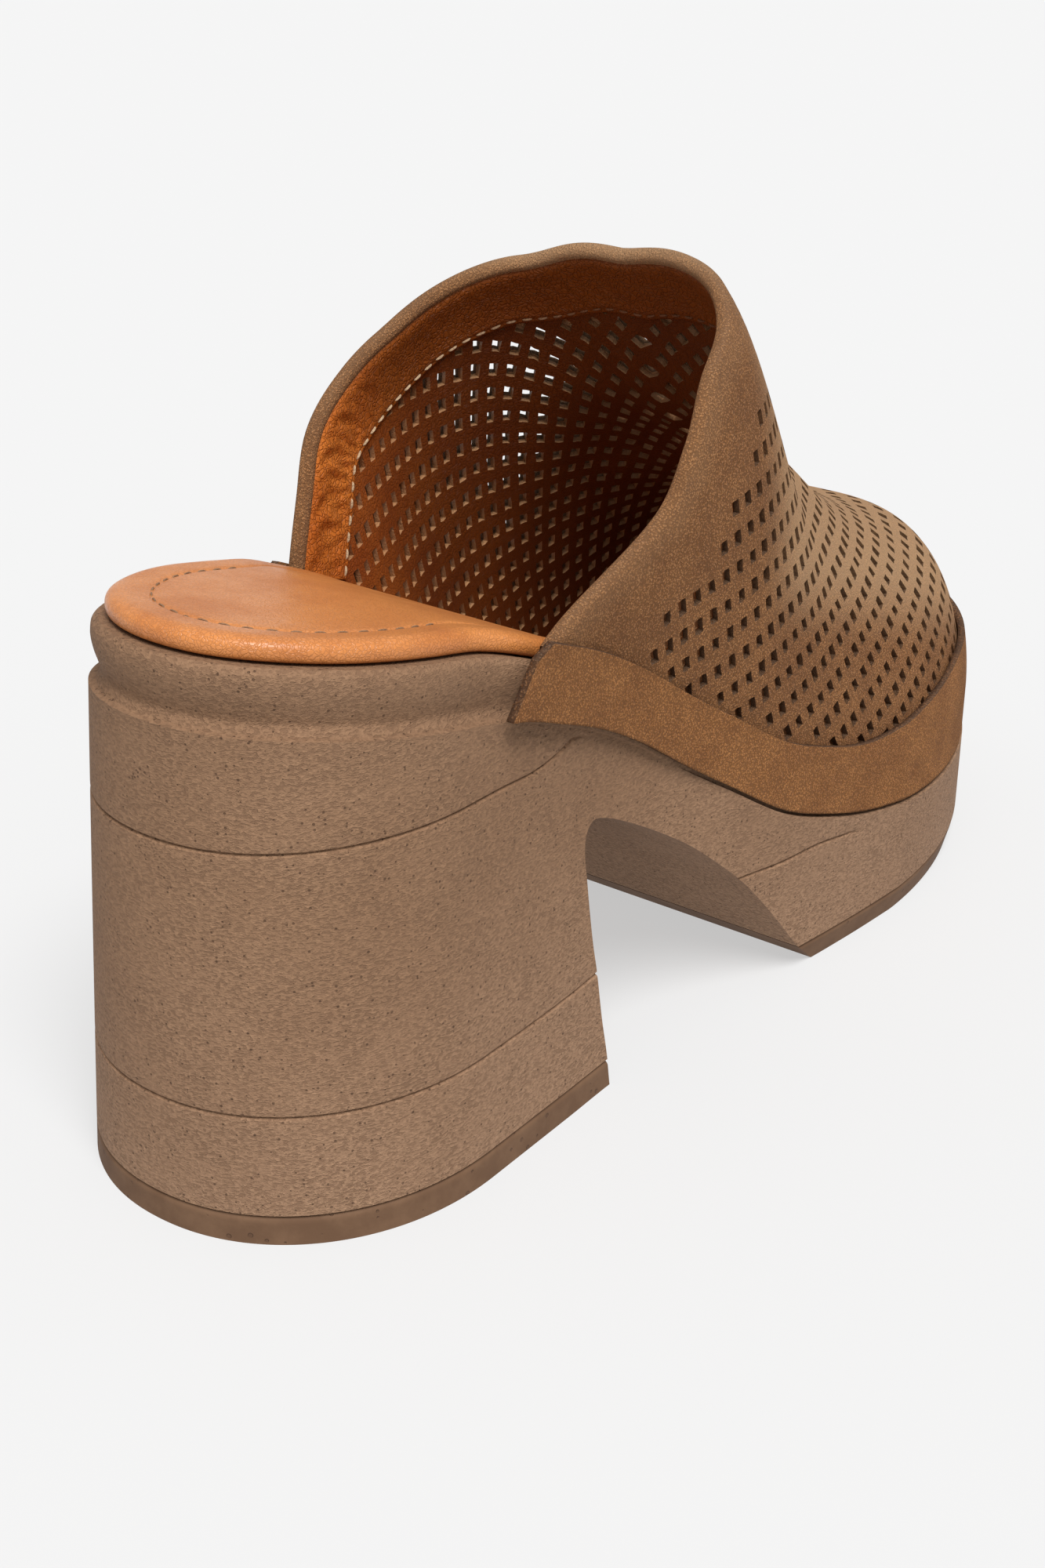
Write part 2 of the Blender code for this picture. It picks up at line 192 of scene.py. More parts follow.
def profile(rows, count):
    """Pairs along a smooth curve through the rows of a profile, taken as one step apart."""
    knots = [(k, *row) for k, row in enumerate(rows)]
    return [(float(smooth(knots, 1, k)), float(smooth(knots, 2, k)))
            for k in np.linspace(0, len(rows) - 1, count)]


def share(x):
    """Place along the shoe as a share of its length, 0 at the back of the heel."""
    return (np.asarray(x, dtype=float) - REAR) / SOLE_LENGTH


def along(part):
    """Place along the shoe in metres from its share of the length."""
    return REAR + np.asarray(part, dtype=float) * SOLE_LENGTH

# %% [markdown]
# ## Heights and plan
#
# A sole is fixed by two drawings: its side view and its plan. The side view gives the feather
# line, where upper and footbed meet, and the tread with its lift at the toe. In the plan the heel
# is a superellipse, the waist a smooth curve and the toe an ellipse. Every piece is drawn inside
# this plan at its own inset, so walls keep one thickness all round. The heel narrows upwards, so
# its inset grows with the height.

# %% Heights and plan of the last


def feather(x):
    """Height of the line where the upper meets the footbed."""
    return FOREFOOT_HEIGHT + (HEEL_HEIGHT - FOREFOOT_HEIGHT) * smooth(FEATHER, 1, share(x))


def tread(x):
    """Height of the tread over the floor: flat, then rising as the square towards the toe."""
    lift = np.clip((share(x) - 0.80) / 0.20, 0.0, 1.0)
    return TOE_SPRING * lift**2


def outline(x, inset, side):
    """Plan of the shoe, moved inwards by an inset: side -1 is the outer side, 1 the inner."""
    x = np.asarray(x, dtype=float)
    heel_half = HEEL_WIDTH / 2
    ball_half = BALL_WIDTH / 2 + side * BALL_SHIFT
    column = 1 if side < 0 else 2
    back = np.clip((REAR + HEEL_ROUND - x) / (HEEL_ROUND - inset), 0.0, 1.0)
    heel = (heel_half - inset) * (1 - back**HEEL_POWER) ** (1 / HEEL_POWER)
    waist = heel_half + (ball_half - heel_half) * smooth(WAIST, column, share(x)) - inset
    ball = along(WAIST[-1][0])
    front = np.clip((x - ball) / (TIP - ball - inset), 0.0, 1.0)
    toe_half = ball_half - side * TOE_SHIFT - inset
    toe = TOE_SHIFT + side * toe_half * np.sqrt(1 - front**2)
    body = np.where(x < REAR + HEEL_ROUND, side * heel, side * waist)
    return np.where(x > ball, toe, body)


def taper(x, z):
    """How far the heel block has drawn in at a height: it flares towards the floor."""
    top = HEEL_BACK_TAPER + (HEEL_SIDE_TAPER - HEEL_BACK_TAPER) * ramp(share(x), 0.0, 0.12)
    return top * (1 - ramp(share(x), 0.36, 0.56)) * z / HEEL_HEIGHT


def wall_inset(x, z):
    """Inset of the sole's wall: the heel's taper, and the tread tucked in at the floor."""
    fore = ramp(share(x), 0.40, 0.55)
    return taper(x, z) + TREAD_TUCK * fore * np.clip(1 - z / OUTSOLE, 0.0, 1.0)


def seat_inset(x):
    """Inset of the outer face of the vamp, and of the sole's wall under the rand."""
    return SEAT + WAIST_TUCK * (1 - ramp(share(x), 0.34, 0.56))


def rim_inset(x, part):
    """Inset of the band below the feather line: a bulged rim that turns into the rand's seat."""
    covered = ramp(share(x), 0.20, 0.27)
    rim = taper(x, feather(x)) + VALLEY_DEPTH * smooth(RIM, 1, part)
    return rim * (1 - covered) + seat_inset(x) * covered

# %% [markdown]
# ## The surface of the vamp
#
# The vamp is suede pulled over the last and glued under its edge, so it takes the last's form:
# upright at the flanks, round over the ridge, low and blunt at the toe. At each place along the
# shoe its section is a superellipse from the outer feather line over the ridge to the inner one.
# One surface with two parameters is better here than sculpting, because holes, seams and bands
# can all be laid out on it.

# %% The vamp's own surface


def ridge(x):
    """Height of the vamp's ridge over the floor, outside the toe box."""
    return COLLAR_HEIGHT * smooth(RIDGE, 1, share(x))


def upper_height(x):
    """Height of the vamp over the feather line, closed at the toe by a superellipse."""
    start = along(TOE_BOX_START)
    forward = np.clip((x - start) / (TIP - SEAT - start), 0.0, 1.0)
    return (ridge(x) - feather(x)) * (1 - forward**TOE_BOX_POWER) ** (1 / TOE_BOX_POWER)


def upper_point(x, turn):
    """Outer face of the vamp: turn 0 is the outer feather line, half pi the ridge, pi the inner."""
    outer = outline(x, seat_inset(x), -1)
    inner = outline(x, seat_inset(x), 1)
    middle, half = (outer + inner) / 2, (inner - outer) / 2
    across = -np.cos(turn)
    swell = BALL_WIDTH * smooth(SWELL, 1, share(x)) * np.abs(np.sin(2 * turn))
    fade = np.clip(half / (BALL_WIDTH * 0.2), 0.0, 1.0)
    y = middle + np.sign(across) * (half * np.abs(across) ** FLANK_POWER + swell * fade)
    z = feather(x) + GAP + upper_height(x) * np.abs(np.sin(turn)) ** CROWN_POWER
    return np.stack([x + 0 * y, y, z], axis=-1)


def topline(turn):
    """Place along the shoe where the vamp starts, for each turn round its section."""
    quarter = np.minimum(turn, np.pi - turn) / (np.pi / 2)
    outer = smooth(TOPLINE, 1, quarter)
    inner = smooth(TOPLINE, 2, quarter)
    return along(np.where(turn < np.pi / 2, outer, inner))


# %% [markdown]
# ## From grids of points to pieces
#
# Every new piece below is a grid of points: rows run one way over the surface and columns the
# other. One helper turns a grid into a mesh with foreach_set, welds what meets at poles, and
# turns the faces outwards.

# %% Grid helper


def faces_of_grid(rows, columns, wrap):
    """Corner numbers of a grid's quads, with the last column joined to the first if it wraps."""
    right = columns if wrap else columns - 1
    i, j = np.meshgrid(np.arange(rows - 1), np.arange(right), indexing="ij")
    after = (j + 1) % columns
    quads = np.stack([i * columns + j, i * columns + after, (i + 1) * columns + after,
                      (i + 1) * columns + j], axis=-1)
    return quads.reshape(-1, 4)


def mesh_piece(name, points, faces, look, outwards=True, **values):
    """Object from points, equal-sided faces and values per point or face, riding on the one body."""
    mesh = bpy.data.meshes.new(name)
    points = np.asarray(points, dtype=np.float32).reshape(-1, 3)
    faces = np.asarray(faces, dtype=np.int32)
    sides = faces.shape[1]
    mesh.vertices.add(len(points))
    mesh.vertices.foreach_set("co", points.ravel())
    mesh.loops.add(faces.size)
    mesh.loops.foreach_set("vertex_index", faces.ravel())
    mesh.polygons.add(len(faces))
    mesh.polygons.foreach_set("loop_start", np.arange(0, faces.size, sides, dtype=np.int32))
    mesh.update(calc_edges=True)
    mesh.validate()
    for key, numbers in values.items():
        where = "FACE" if len(numbers) == len(faces) else "POINT"
        numbers = np.asarray(numbers, np.float32).ravel()
        mesh.attributes.new(key, "FLOAT", where).data.foreach_set("value", numbers)
    work = bmesh.new()
    work.from_mesh(mesh)
    bmesh.ops.remove_doubles(work, verts=work.verts, dist=2e-6)
    bmesh.ops.dissolve_degenerate(work, edges=work.edges, dist=1e-7)
    if outwards:
        bmesh.ops.recalc_face_normals(work, faces=work.faces)
    work.to_mesh(mesh)
    work.free()
    mesh.shade_smooth()
    mesh.set_sharp_from_angle(angle=np.radians(40))
    mesh.materials.append(look)
    made = bpy.data.objects.new(name, mesh)
    bpy.context.scene.collection.objects.link(made)
    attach(made, "root")
    print(f"{name}: {len(mesh.vertices)} points, {len(mesh.polygons)} faces")
    return made

# %% [markdown]
# ## Rings and lofts
#
# The sole, the strips under it and the insole are stacks of rings. Each ring runs round the plan
# at a height and an inset that may change along the shoe, and a loft joins the rings and closes
# both ends. Points stand closer together at the round ends, where the plan turns fastest.

# %% Rings and lofts


def stations(start, end, count, round_start, round_end):
    """Places along the shoe, closer together towards each round end by a sine or cosine."""
    t = np.linspace(0.0, 1.0, count)
    if round_start and round_end:
        t = (1 - np.cos(np.pi * t)) / 2
    elif round_end:
        t = np.sin(np.pi / 2 * t)
    elif round_start:
        t = 1 - np.cos(np.pi / 2 * t)
    return start + (end - start) * t


def ring_ends(inset_of):
    """Ends of a ring on the centre line: each lies at its own inset from the plan's end."""
    start, end = REAR, TIP
    for _ in range(12):
        start, end = REAR + float(inset_of(start)), TIP - float(inset_of(end))
    return start, end


def ring(x, inset, z):
    """One ring of a sole piece: the outer side from heel to toe, then the inner side back."""
    outer = np.stack([x, outline(x, inset, -1), z + 0 * x], axis=-1)
    inner = np.stack([x, outline(x, inset, 1), z + 0 * x], axis=-1)
    return np.concatenate([outer, inner[::-1]])


def full_ring(inset_of, z_of, count=150):
    """Ring round the whole shoe, with inset and height as functions of the place along it."""
    start, end = ring_ends(inset_of)
    x = stations(start, end, count, True, True)
    inset = inset_of(x)
    inset[0], inset[-1] = start - REAR, TIP - end
    return ring(x, inset, z_of(x))


def loft(name, rings, look):
    """Closed solid through rings of equal count, its two ends closed by strips across the shoe."""
    grid = np.stack(rings)
    levels, count = grid.shape[:2]
    walls = faces_of_grid(levels, count, True)
    k = np.arange(count // 2 - 1)
    strip = np.stack([k, k + 1, count - 2 - k, count - 1 - k], axis=-1)
    ends = np.concatenate([strip, strip + (levels - 1) * count])
    return mesh_piece(name, grid, np.concatenate([walls, ends]), look)


# %% [markdown]
# ## The camera
#
# The camera stands behind the outer side of the heel, a little above the shoe, as in the
# photograph. Its angles and place were worked out from the shoe's own curves: the two sides of
# the sole mirror each other, which leaves only one camera that fits both.

# %% Camera
CAMERA_PLACE = (-0.22866, -0.21539, 0.20842)
CAMERA_AZIMUTH = -52.994
CAMERA_ELEVATION = 25.281
CAMERA_ROLL = 0.251
CAMERA_LENS = 50.84


def camera_axes(azimuth, elevation, roll):
    """Right, up and back of a camera on a circle round the shoe, turned by its roll."""
    a, e, r = np.radians([azimuth, elevation, roll])
    back = np.array([np.sin(a) * np.cos(e), -np.cos(a) * np.cos(e), np.sin(e)])
    right = np.cross([0.0, 0.0, 1.0], back)
    right = right / np.linalg.norm(right)
    up = np.cross(back, right)
    return right * np.cos(r) + up * np.sin(r), up * np.cos(r) - right * np.sin(r), back


lens = bpy.data.cameras.new("camera")
lens.lens = CAMERA_LENS
lens.clip_start = 0.01
lens.clip_end = 50.0
camera = bpy.data.objects.new("camera", lens)
turned = Matrix(np.stack(camera_axes(CAMERA_AZIMUTH, CAMERA_ELEVATION, CAMERA_ROLL), axis=1)).to_4x4()
camera.matrix_world = Matrix.Translation(CAMERA_PLACE) @ turned
bpy.context.scene.collection.objects.link(camera)
bpy.context.scene.camera = camera
bpy.context.scene.view_settings.view_transform = "Standard"
print("camera at", [round(v, 3) for v in CAMERA_PLACE])

# %% [markdown]
# ## Floor and light
#
# Shoes like this are photographed on a pale sweep under large soft lamps. A wide matt floor that
# glows a little gives the even, nearly white ground. One wide light from above and behind the
# outer side gives the soft shading and the faint shadow. The surroundings fill the dark sides, and
# look nearly white where the camera sees them past the floor.

# %% Floor and soft lights
FLOOR_SIZE = 12.0
FLOOR_GREY = (0.26, 0.26, 0.26)
FLOOR_GLOW = 0.52
SKY_LIGHT = 0.50
SKY_SEEN = 0.91
SUN_FROM = (-0.36, -0.46, 1.0)
SUN_WIDTH = 30.0
SUN_STRENGTH = 3.7


def plain_material(name, colour, roughness):
    """Material with a Principled shader and these constants on its own sockets."""
    made = bpy.data.materials.new(name)
    made.use_nodes = True
    shader = made.node_tree.nodes["Principled BSDF"]
    shader.inputs["Base Color"].default_value = (*colour, 1.0)
    shader.inputs["Roughness"].default_value = roughness
    return made


def soft_sun(name, place, angle, strength):
    """Even light from the direction of a place, softened as if by a large screen."""
    data = bpy.data.lights.new(name, "SUN")
    data.angle = np.radians(angle)
    data.energy = strength
    lamp = bpy.data.objects.new(name, data)
    lamp.matrix_world = (-Vector(place)).to_track_quat("-Z", "Y").to_matrix().to_4x4()
    bpy.context.scene.collection.objects.link(lamp)


floor_mesh = bpy.data.meshes.new("floor")
half = FLOOR_SIZE / 2
corners = [(-half, -half, 0), (half, -half, 0), (half, half, 0), (-half, half, 0)]
floor_mesh.from_pydata(corners, [], [(0, 1, 2, 3)])
floor_look = plain_material("studio_floor", FLOOR_GREY, 0.95)
floor_shader = floor_look.node_tree.nodes["Principled BSDF"]
floor_shader.inputs["Specular IOR Level"].default_value = 0.0
floor_shader.inputs["Emission Color"].default_value = (1.0, 1.0, 1.0, 1.0)
floor_shader.inputs["Emission Strength"].default_value = FLOOR_GLOW
floor_mesh.materials.append(floor_look)
floor = bpy.data.objects.new("floor", floor_mesh)
bpy.context.scene.collection.objects.link(floor)

world = bpy.data.worlds.new("studio")
world.use_nodes = True
sky = world.node_tree
background = sky.nodes["Background"]
background.inputs["Color"].default_value = (1.0, 1.0, 1.0, 1.0)
level = sky.nodes.new("ShaderNodeMapRange")
level.inputs["To Min"].default_value = SKY_LIGHT
level.inputs["To Max"].default_value = SKY_SEEN
sky.links.new(sky.nodes.new("ShaderNodeLightPath").outputs["Is Camera Ray"], level.inputs["Value"])
sky.links.new(level.outputs[0], background.inputs["Strength"])
bpy.context.scene.world = world
soft_sun("key_light", SUN_FROM, SUN_WIDTH, SUN_STRENGTH)
print("floor, soft surroundings and one soft light")

# %% [markdown]
# ## Materials from a few shared effects
#
# Suede, smooth leather and moulded foam differ in how their surface is broken up: suede by short
# fibres, leather by a net of fine cracks, foam by streaks from the mould. Each of these is one
# node group that gives only a mask and a height, so every material can mix its own colours with
# them. All of them read the object's own coordinates in metres, so a scale is a count per metre.

# %% Node helpers


def add(tree, kind, sockets=None, **settings):
    """New node with its settings; each socket gets a constant or a link from another socket."""
    made = tree.nodes.new(kind)
    for name, value in settings.items():
        setattr(made, name, value)
    for key, value in (sockets or {}).items():
        if isinstance(value, bpy.types.NodeSocket):
            tree.links.new(value, made.inputs[key])
        else:
            made.inputs[key].default_value = value
    return made


def math(tree, operation, first, second=0.0):
    """Result of one step of arithmetic on two values."""
    return add(tree, "ShaderNodeMath", {0: first, 1: second}, operation=operation).outputs[0]


def on_vector(tree, operation, sockets):
    """Result of one step of arithmetic on vectors."""
    return add(tree, "ShaderNodeVectorMath", sockets, operation=operation).outputs[0]


def spread(tree, value, low, high, to_low=0.0, to_high=1.0):
    """Value between low and high stretched to a new range, and held at its ends."""
    sockets = {"Value": value, "From Min": low, "From Max": high, "To Min": to_low, "To Max": to_high}
    return add(tree, "ShaderNodeMapRange", sockets, interpolation_type="SMOOTHSTEP").outputs[0]


def blend(tree, part, first, second):
    """Two colours mixed by a part."""
    first = (*first, 1.0) if isinstance(first, tuple) else first
    second = (*second, 1.0) if isinstance(second, tuple) else second
    return add(tree, "ShaderNodeMix", {0: part, 6: first, 7: second}, data_type="RGBA").outputs[2]


def deeper(colour, part):
    """Darker version of a colour: each of its values times a part."""
    return tuple(part * v for v in colour)


def noise(tree, vector, scale, detail=3.0, rough=0.55):
    """Value of a noise texture."""
    sockets = {"Vector": vector, "Scale": scale, "Detail": detail, "Roughness": rough}
    return add(tree, "ShaderNodeTexNoise", sockets).outputs["Fac"]


def effect(name):
    """Empty node group with a vector and a scale going in, and a mask and a height coming out."""
    tree = bpy.data.node_groups.new(name, "ShaderNodeTree")
    tree.interface.new_socket("Vector", in_out="INPUT", socket_type="NodeSocketVector")
    tree.interface.new_socket("Scale", in_out="INPUT", socket_type="NodeSocketFloat")
    tree.interface.new_socket("Mask", in_out="OUTPUT", socket_type="NodeSocketFloat")
    tree.interface.new_socket("Height", in_out="OUTPUT", socket_type="NodeSocketFloat")
    source = tree.nodes.new("NodeGroupInput")
    return tree, source.outputs["Vector"], source.outputs["Scale"], tree.nodes.new("NodeGroupOutput")


def warped(tree, vector, scale, amount):
    """Vector pushed about by a noise, by an amount counted in cells of the scale."""
    push = add(tree, "ShaderNodeTexNoise", {"Vector": vector, "Scale": scale}).outputs["Color"]
    centred = on_vector(tree, "SUBTRACT", {0: push, 1: (0.5, 0.5, 0.5)})
    moved = on_vector(tree, "SCALE", {0: centred, "Scale": math(tree, "DIVIDE", amount, scale)})
    return on_vector(tree, "ADD", {0: vector, 1: moved})

# %% [markdown]
# ## Four effects
#
# Nap is tangled noise with pits between tufts. Grain is the net of borders between small cells.
# Streaks are noise drawn out level. Specks are the middles of a few cells, each of its own size.
# Every group gives a mask for mixing colours and a height for the bump, and none of them knows
# which material it is used in.

# %% Shared effects


def nap_effect():
    """Suede nap: short tangled fibres, with pits between small tufts."""
    tree, vector, scale, out = effect("nap")
    bent = warped(tree, vector, math(tree, "MULTIPLY", scale, 0.5), 0.9)
    fibres = noise(tree, bent, scale, 4.0, 0.68)
    wide = math(tree, "MULTIPLY", scale, 0.55)
    tufts = add(tree, "ShaderNodeTexVoronoi", {"Vector": bent, "Scale": wide})
    tuft = spread(tree, tufts.outputs["Distance"], 0.1, 0.75, 1.0, 0.0)
    mixed = math(tree, "ADD", math(tree, "MULTIPLY", fibres, 0.72), math(tree, "MULTIPLY", tuft, 0.28))
    tree.links.new(spread(tree, mixed, 0.34, 0.68), out.inputs["Mask"])
    tree.links.new(mixed, out.inputs["Height"])
    return tree


def grain_effect():
    """Leather grain: small flat plates parted by fine cracks, with a soft swell under them."""
    tree, vector, scale, out = effect("grain")
    bent = warped(tree, vector, math(tree, "MULTIPLY", scale, 0.4), 1.1)
    cells = {"Vector": bent, "Scale": scale}
    plates = add(tree, "ShaderNodeTexVoronoi", cells, feature="DISTANCE_TO_EDGE")
    cracks = spread(tree, plates.outputs["Distance"], 0.0, 0.16)
    swell = noise(tree, vector, math(tree, "MULTIPLY", scale, 0.3), 3.0, 0.6)
    height = math(tree, "ADD", math(tree, "MULTIPLY", cracks, 0.5), math(tree, "MULTIPLY", swell, 0.6))
    tree.links.new(cracks, out.inputs["Mask"])
    tree.links.new(height, out.inputs["Height"])
    return tree


def streak_effect():
    """Foam skin: short level streaks from the mould, broken by a coarser patchiness."""
    tree, vector, scale, out = effect("streaks")
    long = on_vector(tree, "MULTIPLY", {0: vector, 1: (1.0, 1.0, 2.6)})
    lines = noise(tree, long, scale, 2.0, 0.6)
    patches = noise(tree, vector, math(tree, "MULTIPLY", scale, 0.12), 2.0, 0.5)
    strength = spread(tree, patches, 0.35, 0.65, 0.80, 1.0)
    mask = math(tree, "MULTIPLY", spread(tree, lines, 0.46, 0.62), strength)
    tree.links.new(mask, out.inputs["Mask"])
    height = math(tree, "SUBTRACT", lines, math(tree, "MULTIPLY", mask, 0.4))
    tree.links.new(height, out.inputs["Height"])
    return tree


def speck_effect():
    """Scattered specks: the middles of a few cells, each of its own size."""
    tree, vector, scale, out = effect("specks")
    cells = add(tree, "ShaderNodeTexVoronoi", {"Vector": vector, "Scale": scale})
    chance = add(tree, "ShaderNodeSeparateColor", {0: cells.outputs["Color"]}).outputs[0]
    size = spread(tree, chance, 0.72, 1.0, 0.0, 0.34)
    mask = spread(tree, math(tree, "SUBTRACT", size, cells.outputs["Distance"]), 0.0, 0.08)
    tree.links.new(mask, out.inputs["Mask"])
    tree.links.new(math(tree, "MULTIPLY", mask, -1.0), out.inputs["Height"])
    return tree


NAP, GRAIN, STREAKS, SPECKS = nap_effect(), grain_effect(), streak_effect(), speck_effect()

# %% [markdown]
# ## Starting a material
#
# Each material starts the same way: a shader with its roughness and gloss, and the object's own
# coordinates. All pieces are built in place and never moved, so a pattern runs on from one piece
# to the next at the same scale.

# %% Material helpers


def surface(name, roughness, specular):
    """Material with a Principled shader; returns it, its tree, shader and object coordinates."""
    made = bpy.data.materials.new(name)
    made.use_nodes = True
    tree = made.node_tree
    shader = tree.nodes["Principled BSDF"]
    shader.inputs["Roughness"].default_value = roughness
    shader.inputs["Specular IOR Level"].default_value = specular
    return made, tree, shader, add(tree, "ShaderNodeTexCoord").outputs["Object"]


def use(tree, group, vector, scale):
    """Mask and height of a shared effect at a scale."""
    made = add(tree, "ShaderNodeGroup", node_tree=group)
    tree.links.new(vector, made.inputs["Vector"])
    made.inputs["Scale"].default_value = scale
    return made.outputs["Mask"], made.outputs["Height"]


def raise_by(tree, shader, height, distance):
    """Bump on a shader from a height, with its distance in metres."""
    bump_node = add(tree, "ShaderNodeBump", {"Height": height, "Distance": distance, "Strength": 1.0})
    tree.links.new(bump_node.outputs[0], shader.inputs["Normal"])

# %% [markdown]
# ## Suede
#
# Suede is the flesh side of a hide, sanded until its fibres stand up. It has hardly any gloss, and
# its tone changes from fibre to fibre and in soft patches where the nap lies another way. On this
# shoe the vamp's upper side is painted paler as light from above, and its edges get a faint pale
# tone, partly worn nap and partly painted light. The walls of its holes are painted dark, partly
# the cut edge's own tone and partly painted shade inside the holes. A little sheen stands for the
# fibres that catch light at the outline. Real hairs would cost millions of faces and would be
# thinner than a dot of the picture.

# %% Suede


def suede_look(name, light, dark, pale, scale, fade):
    """Suede: two browns mottled by patches and fibres, painted paler as light on its upper side, faintly
    pale near edges.
    """
    made, tree, shader, vector = surface(name, 0.92, 0.12)
    fibres, height = use(tree, NAP, vector, scale)
    patches = noise(tree, vector, 95.0, 3.0, 0.6)
    colour = blend(tree, spread(tree, patches, 0.33, 0.67), dark, light)
    colour = blend(tree, spread(tree, fibres, 0.0, 1.0, 0.70, 0.0), colour, deeper(dark, 0.34))
    colour = blend(tree, spread(tree, fibres, 0.60, 1.0, 0.0, 0.20), colour, pale)
    place = add(tree, "ShaderNodeSeparateXYZ", {0: vector}).outputs
    # Painted light: past the collar the vamp's upper side turns towards the pale tone, by the share fade.
    lifted = math(tree, "ADD", place["Z"], math(tree, "MULTIPLY", place["X"], 0.35))
    past_collar = spread(tree, place["X"], 0.072, 0.092)
    painted_top_light = math(tree, "MULTIPLY", past_collar, spread(tree, lifted, 0.096, 0.112))
    colour = blend(tree, math(tree, "MULTIPLY", painted_top_light, fade), colour, pale)
    # Near the topline, on the roll and on the rand's upper edge a faint pale tone: partly worn nap, partly
    # painted light.
    edge = add(tree, "ShaderNodeAttribute", attribute_name="edge").outputs["Fac"]
    broken = math(tree, "ADD", edge, math(tree, "MULTIPLY", math(tree, "SUBTRACT", patches, 0.5), 0.5))
    colour = blend(tree, spread(tree, broken, 0.55, 1.0, 0.0, 0.08), colour, pale)
    # Painted shade: hole walls turn towards a deep brown, partly the cut edge's own tone and partly shade
    # inside the holes.
    wall = add(tree, "ShaderNodeAttribute", attribute_name="wall").outputs["Fac"]
    colour = blend(tree, math(tree, "MULTIPLY", wall, 0.8), colour, deeper(dark, 0.22))
    tree.links.new(colour, shader.inputs["Base Color"])
    shader.inputs["Sheen Weight"].default_value = 0.10
    shader.inputs["Sheen Roughness"].default_value = 0.55
    shader.inputs["Sheen Tint"].default_value = (1.0, 0.86, 0.70, 1.0)
    folds = noise(tree, warped(tree, vector, 300.0, 0.8), 420.0, 2.0, 0.5)
    raise_by(tree, shader, math(tree, "ADD", height, math(tree, "MULTIPLY", folds, 0.35)), 0.0012)
    return made

# %% [markdown]
# ## Smooth leather
#
# Insole, lining and facing are smooth leather: two tones in soft patches and a net of fine cracks,
# with more gloss on the insole than inside. The photograph shows the leather deeper and redder
# towards the toe and in the middle of the facing, where it lies in shade inside the shoe, so a
# share of a deep tone is mixed in there as painted shade.

# %% Smooth leather


def leather_look(name, light, dark, roughness, scale, relief, specular, shade):
    """Smooth leather: two tones in patches, darker in its cracks and, by a share, painted with shade
    deeper inside.
    """
    made, tree, shader, vector = surface(name, roughness, specular)
    cracks, height = use(tree, GRAIN, vector, scale)
    patches = noise(tree, vector, 60.0, 4.0, 0.6)
    colour = blend(tree, spread(tree, patches, 0.3, 0.7), dark, light)
    colour = blend(tree, spread(tree, cracks, 0.0, 1.0, 0.28, 0.0), colour, deeper(dark, 0.5))
    # Painted shade: where the depth value is set, on the facing's middle deep in the shoe, the colour
    # turns to a deep tone.
    tone = add(tree, "ShaderNodeAttribute", attribute_name="depth").outputs["Fac"]
    colour = blend(tree, spread(tree, tone, 0.0, 1.0, 0.0, 0.82), colour, deeper(dark, 0.45))
    # Painted shade: darker towards the toe, deep inside the shoe, by the share shade.
    forward = add(tree, "ShaderNodeSeparateXYZ", {0: vector}).outputs["X"]
    deep = spread(tree, forward, 0.042, 0.085, 0.0, shade)
    colour = blend(tree, deep, colour, deeper(dark, 0.25))
    wall = add(tree, "ShaderNodeAttribute", attribute_name="wall").outputs["Fac"]
    colour = blend(tree, math(tree, "MULTIPLY", wall, 0.55), colour, (0.48, 0.27, 0.13))
    tree.links.new(colour, shader.inputs["Base Color"])
    rough = spread(tree, patches, 0.3, 0.7, roughness + 0.07, roughness - 0.07)
    tree.links.new(rough, shader.inputs["Roughness"])
    raise_by(tree, shader, height, relief)
    return made

# %% [markdown]
# ## Foam and rubber
#
# The moulded unit is a fine foam with a matt skin, drawn into short level pits, with scattered
# dark specks, and painted lighter towards the floor as light from the pale floor. The strips under
# it are darker rubber, rubbed and slightly nicked. Both need a colour and a small height together:
# with colour alone they look printed, and with height alone they look like clean plastic.

# %% Foam and rubber


def foam_look():
    """Moulded foam: taupe brown, with level streaks, dark specks and fine pores."""
    made, tree, shader, vector = surface("moulded_foam", 0.75, 0.15)
    lines, height = use(tree, STREAKS, vector, 1050.0)
    dots, pits = use(tree, SPECKS, vector, 1500.0)
    pores, fine = use(tree, NAP, vector, 2700.0)
    patches = noise(tree, vector, 28.0, 3.0, 0.55)
    colour = blend(tree, spread(tree, patches, 0.3, 0.7), (0.252, 0.143, 0.080), (0.294, 0.172, 0.099))
    low = add(tree, "ShaderNodeSeparateXYZ", {0: vector}).outputs["Z"]
    # Painted light: lighter towards the floor, as light from the pale floor.
    colour = blend(tree, spread(tree, low, 0.0, 0.060, 0.40, 0.0), colour, (0.400, 0.250, 0.160))
    colour = blend(tree, math(tree, "MULTIPLY", lines, 0.62), colour, (0.165, 0.092, 0.053))
    colour = blend(tree, spread(tree, pores, 0.0, 1.0, 0.22, 0.0), colour, (0.130, 0.070, 0.040))
    colour = blend(tree, math(tree, "MULTIPLY", dots, 0.65), colour, (0.060, 0.030, 0.018))
    tree.links.new(colour, shader.inputs["Base Color"])
    relief = math(tree, "ADD", math(tree, "MULTIPLY", height, 1.1), math(tree, "MULTIPLY", fine, 0.4))
    raise_by(tree, shader, math(tree, "ADD", relief, math(tree, "MULTIPLY", pits, 0.5)), 0.00042)
    return made


def rubber_look():
    """Outsole rubber: dark smooth brown, with small nicks and a dusty patchiness."""
    made, tree, shader, vector = surface("outsole_rubber", 0.72, 0.15)
    dots, pits = use(tree, SPECKS, vector, 700.0)
    patches = noise(tree, vector, 140.0, 4.0, 0.65)
    colour = blend(tree, spread(tree, patches, 0.35, 0.7), (0.125, 0.068, 0.038), (0.160, 0.090, 0.051))
    colour = blend(tree, math(tree, "MULTIPLY", dots, 0.5), colour, (0.080, 0.042, 0.026))
    tree.links.new(colour, shader.inputs["Base Color"])
    raise_by(tree, shader, math(tree, "ADD", patches, pits), 0.00015)
    return made
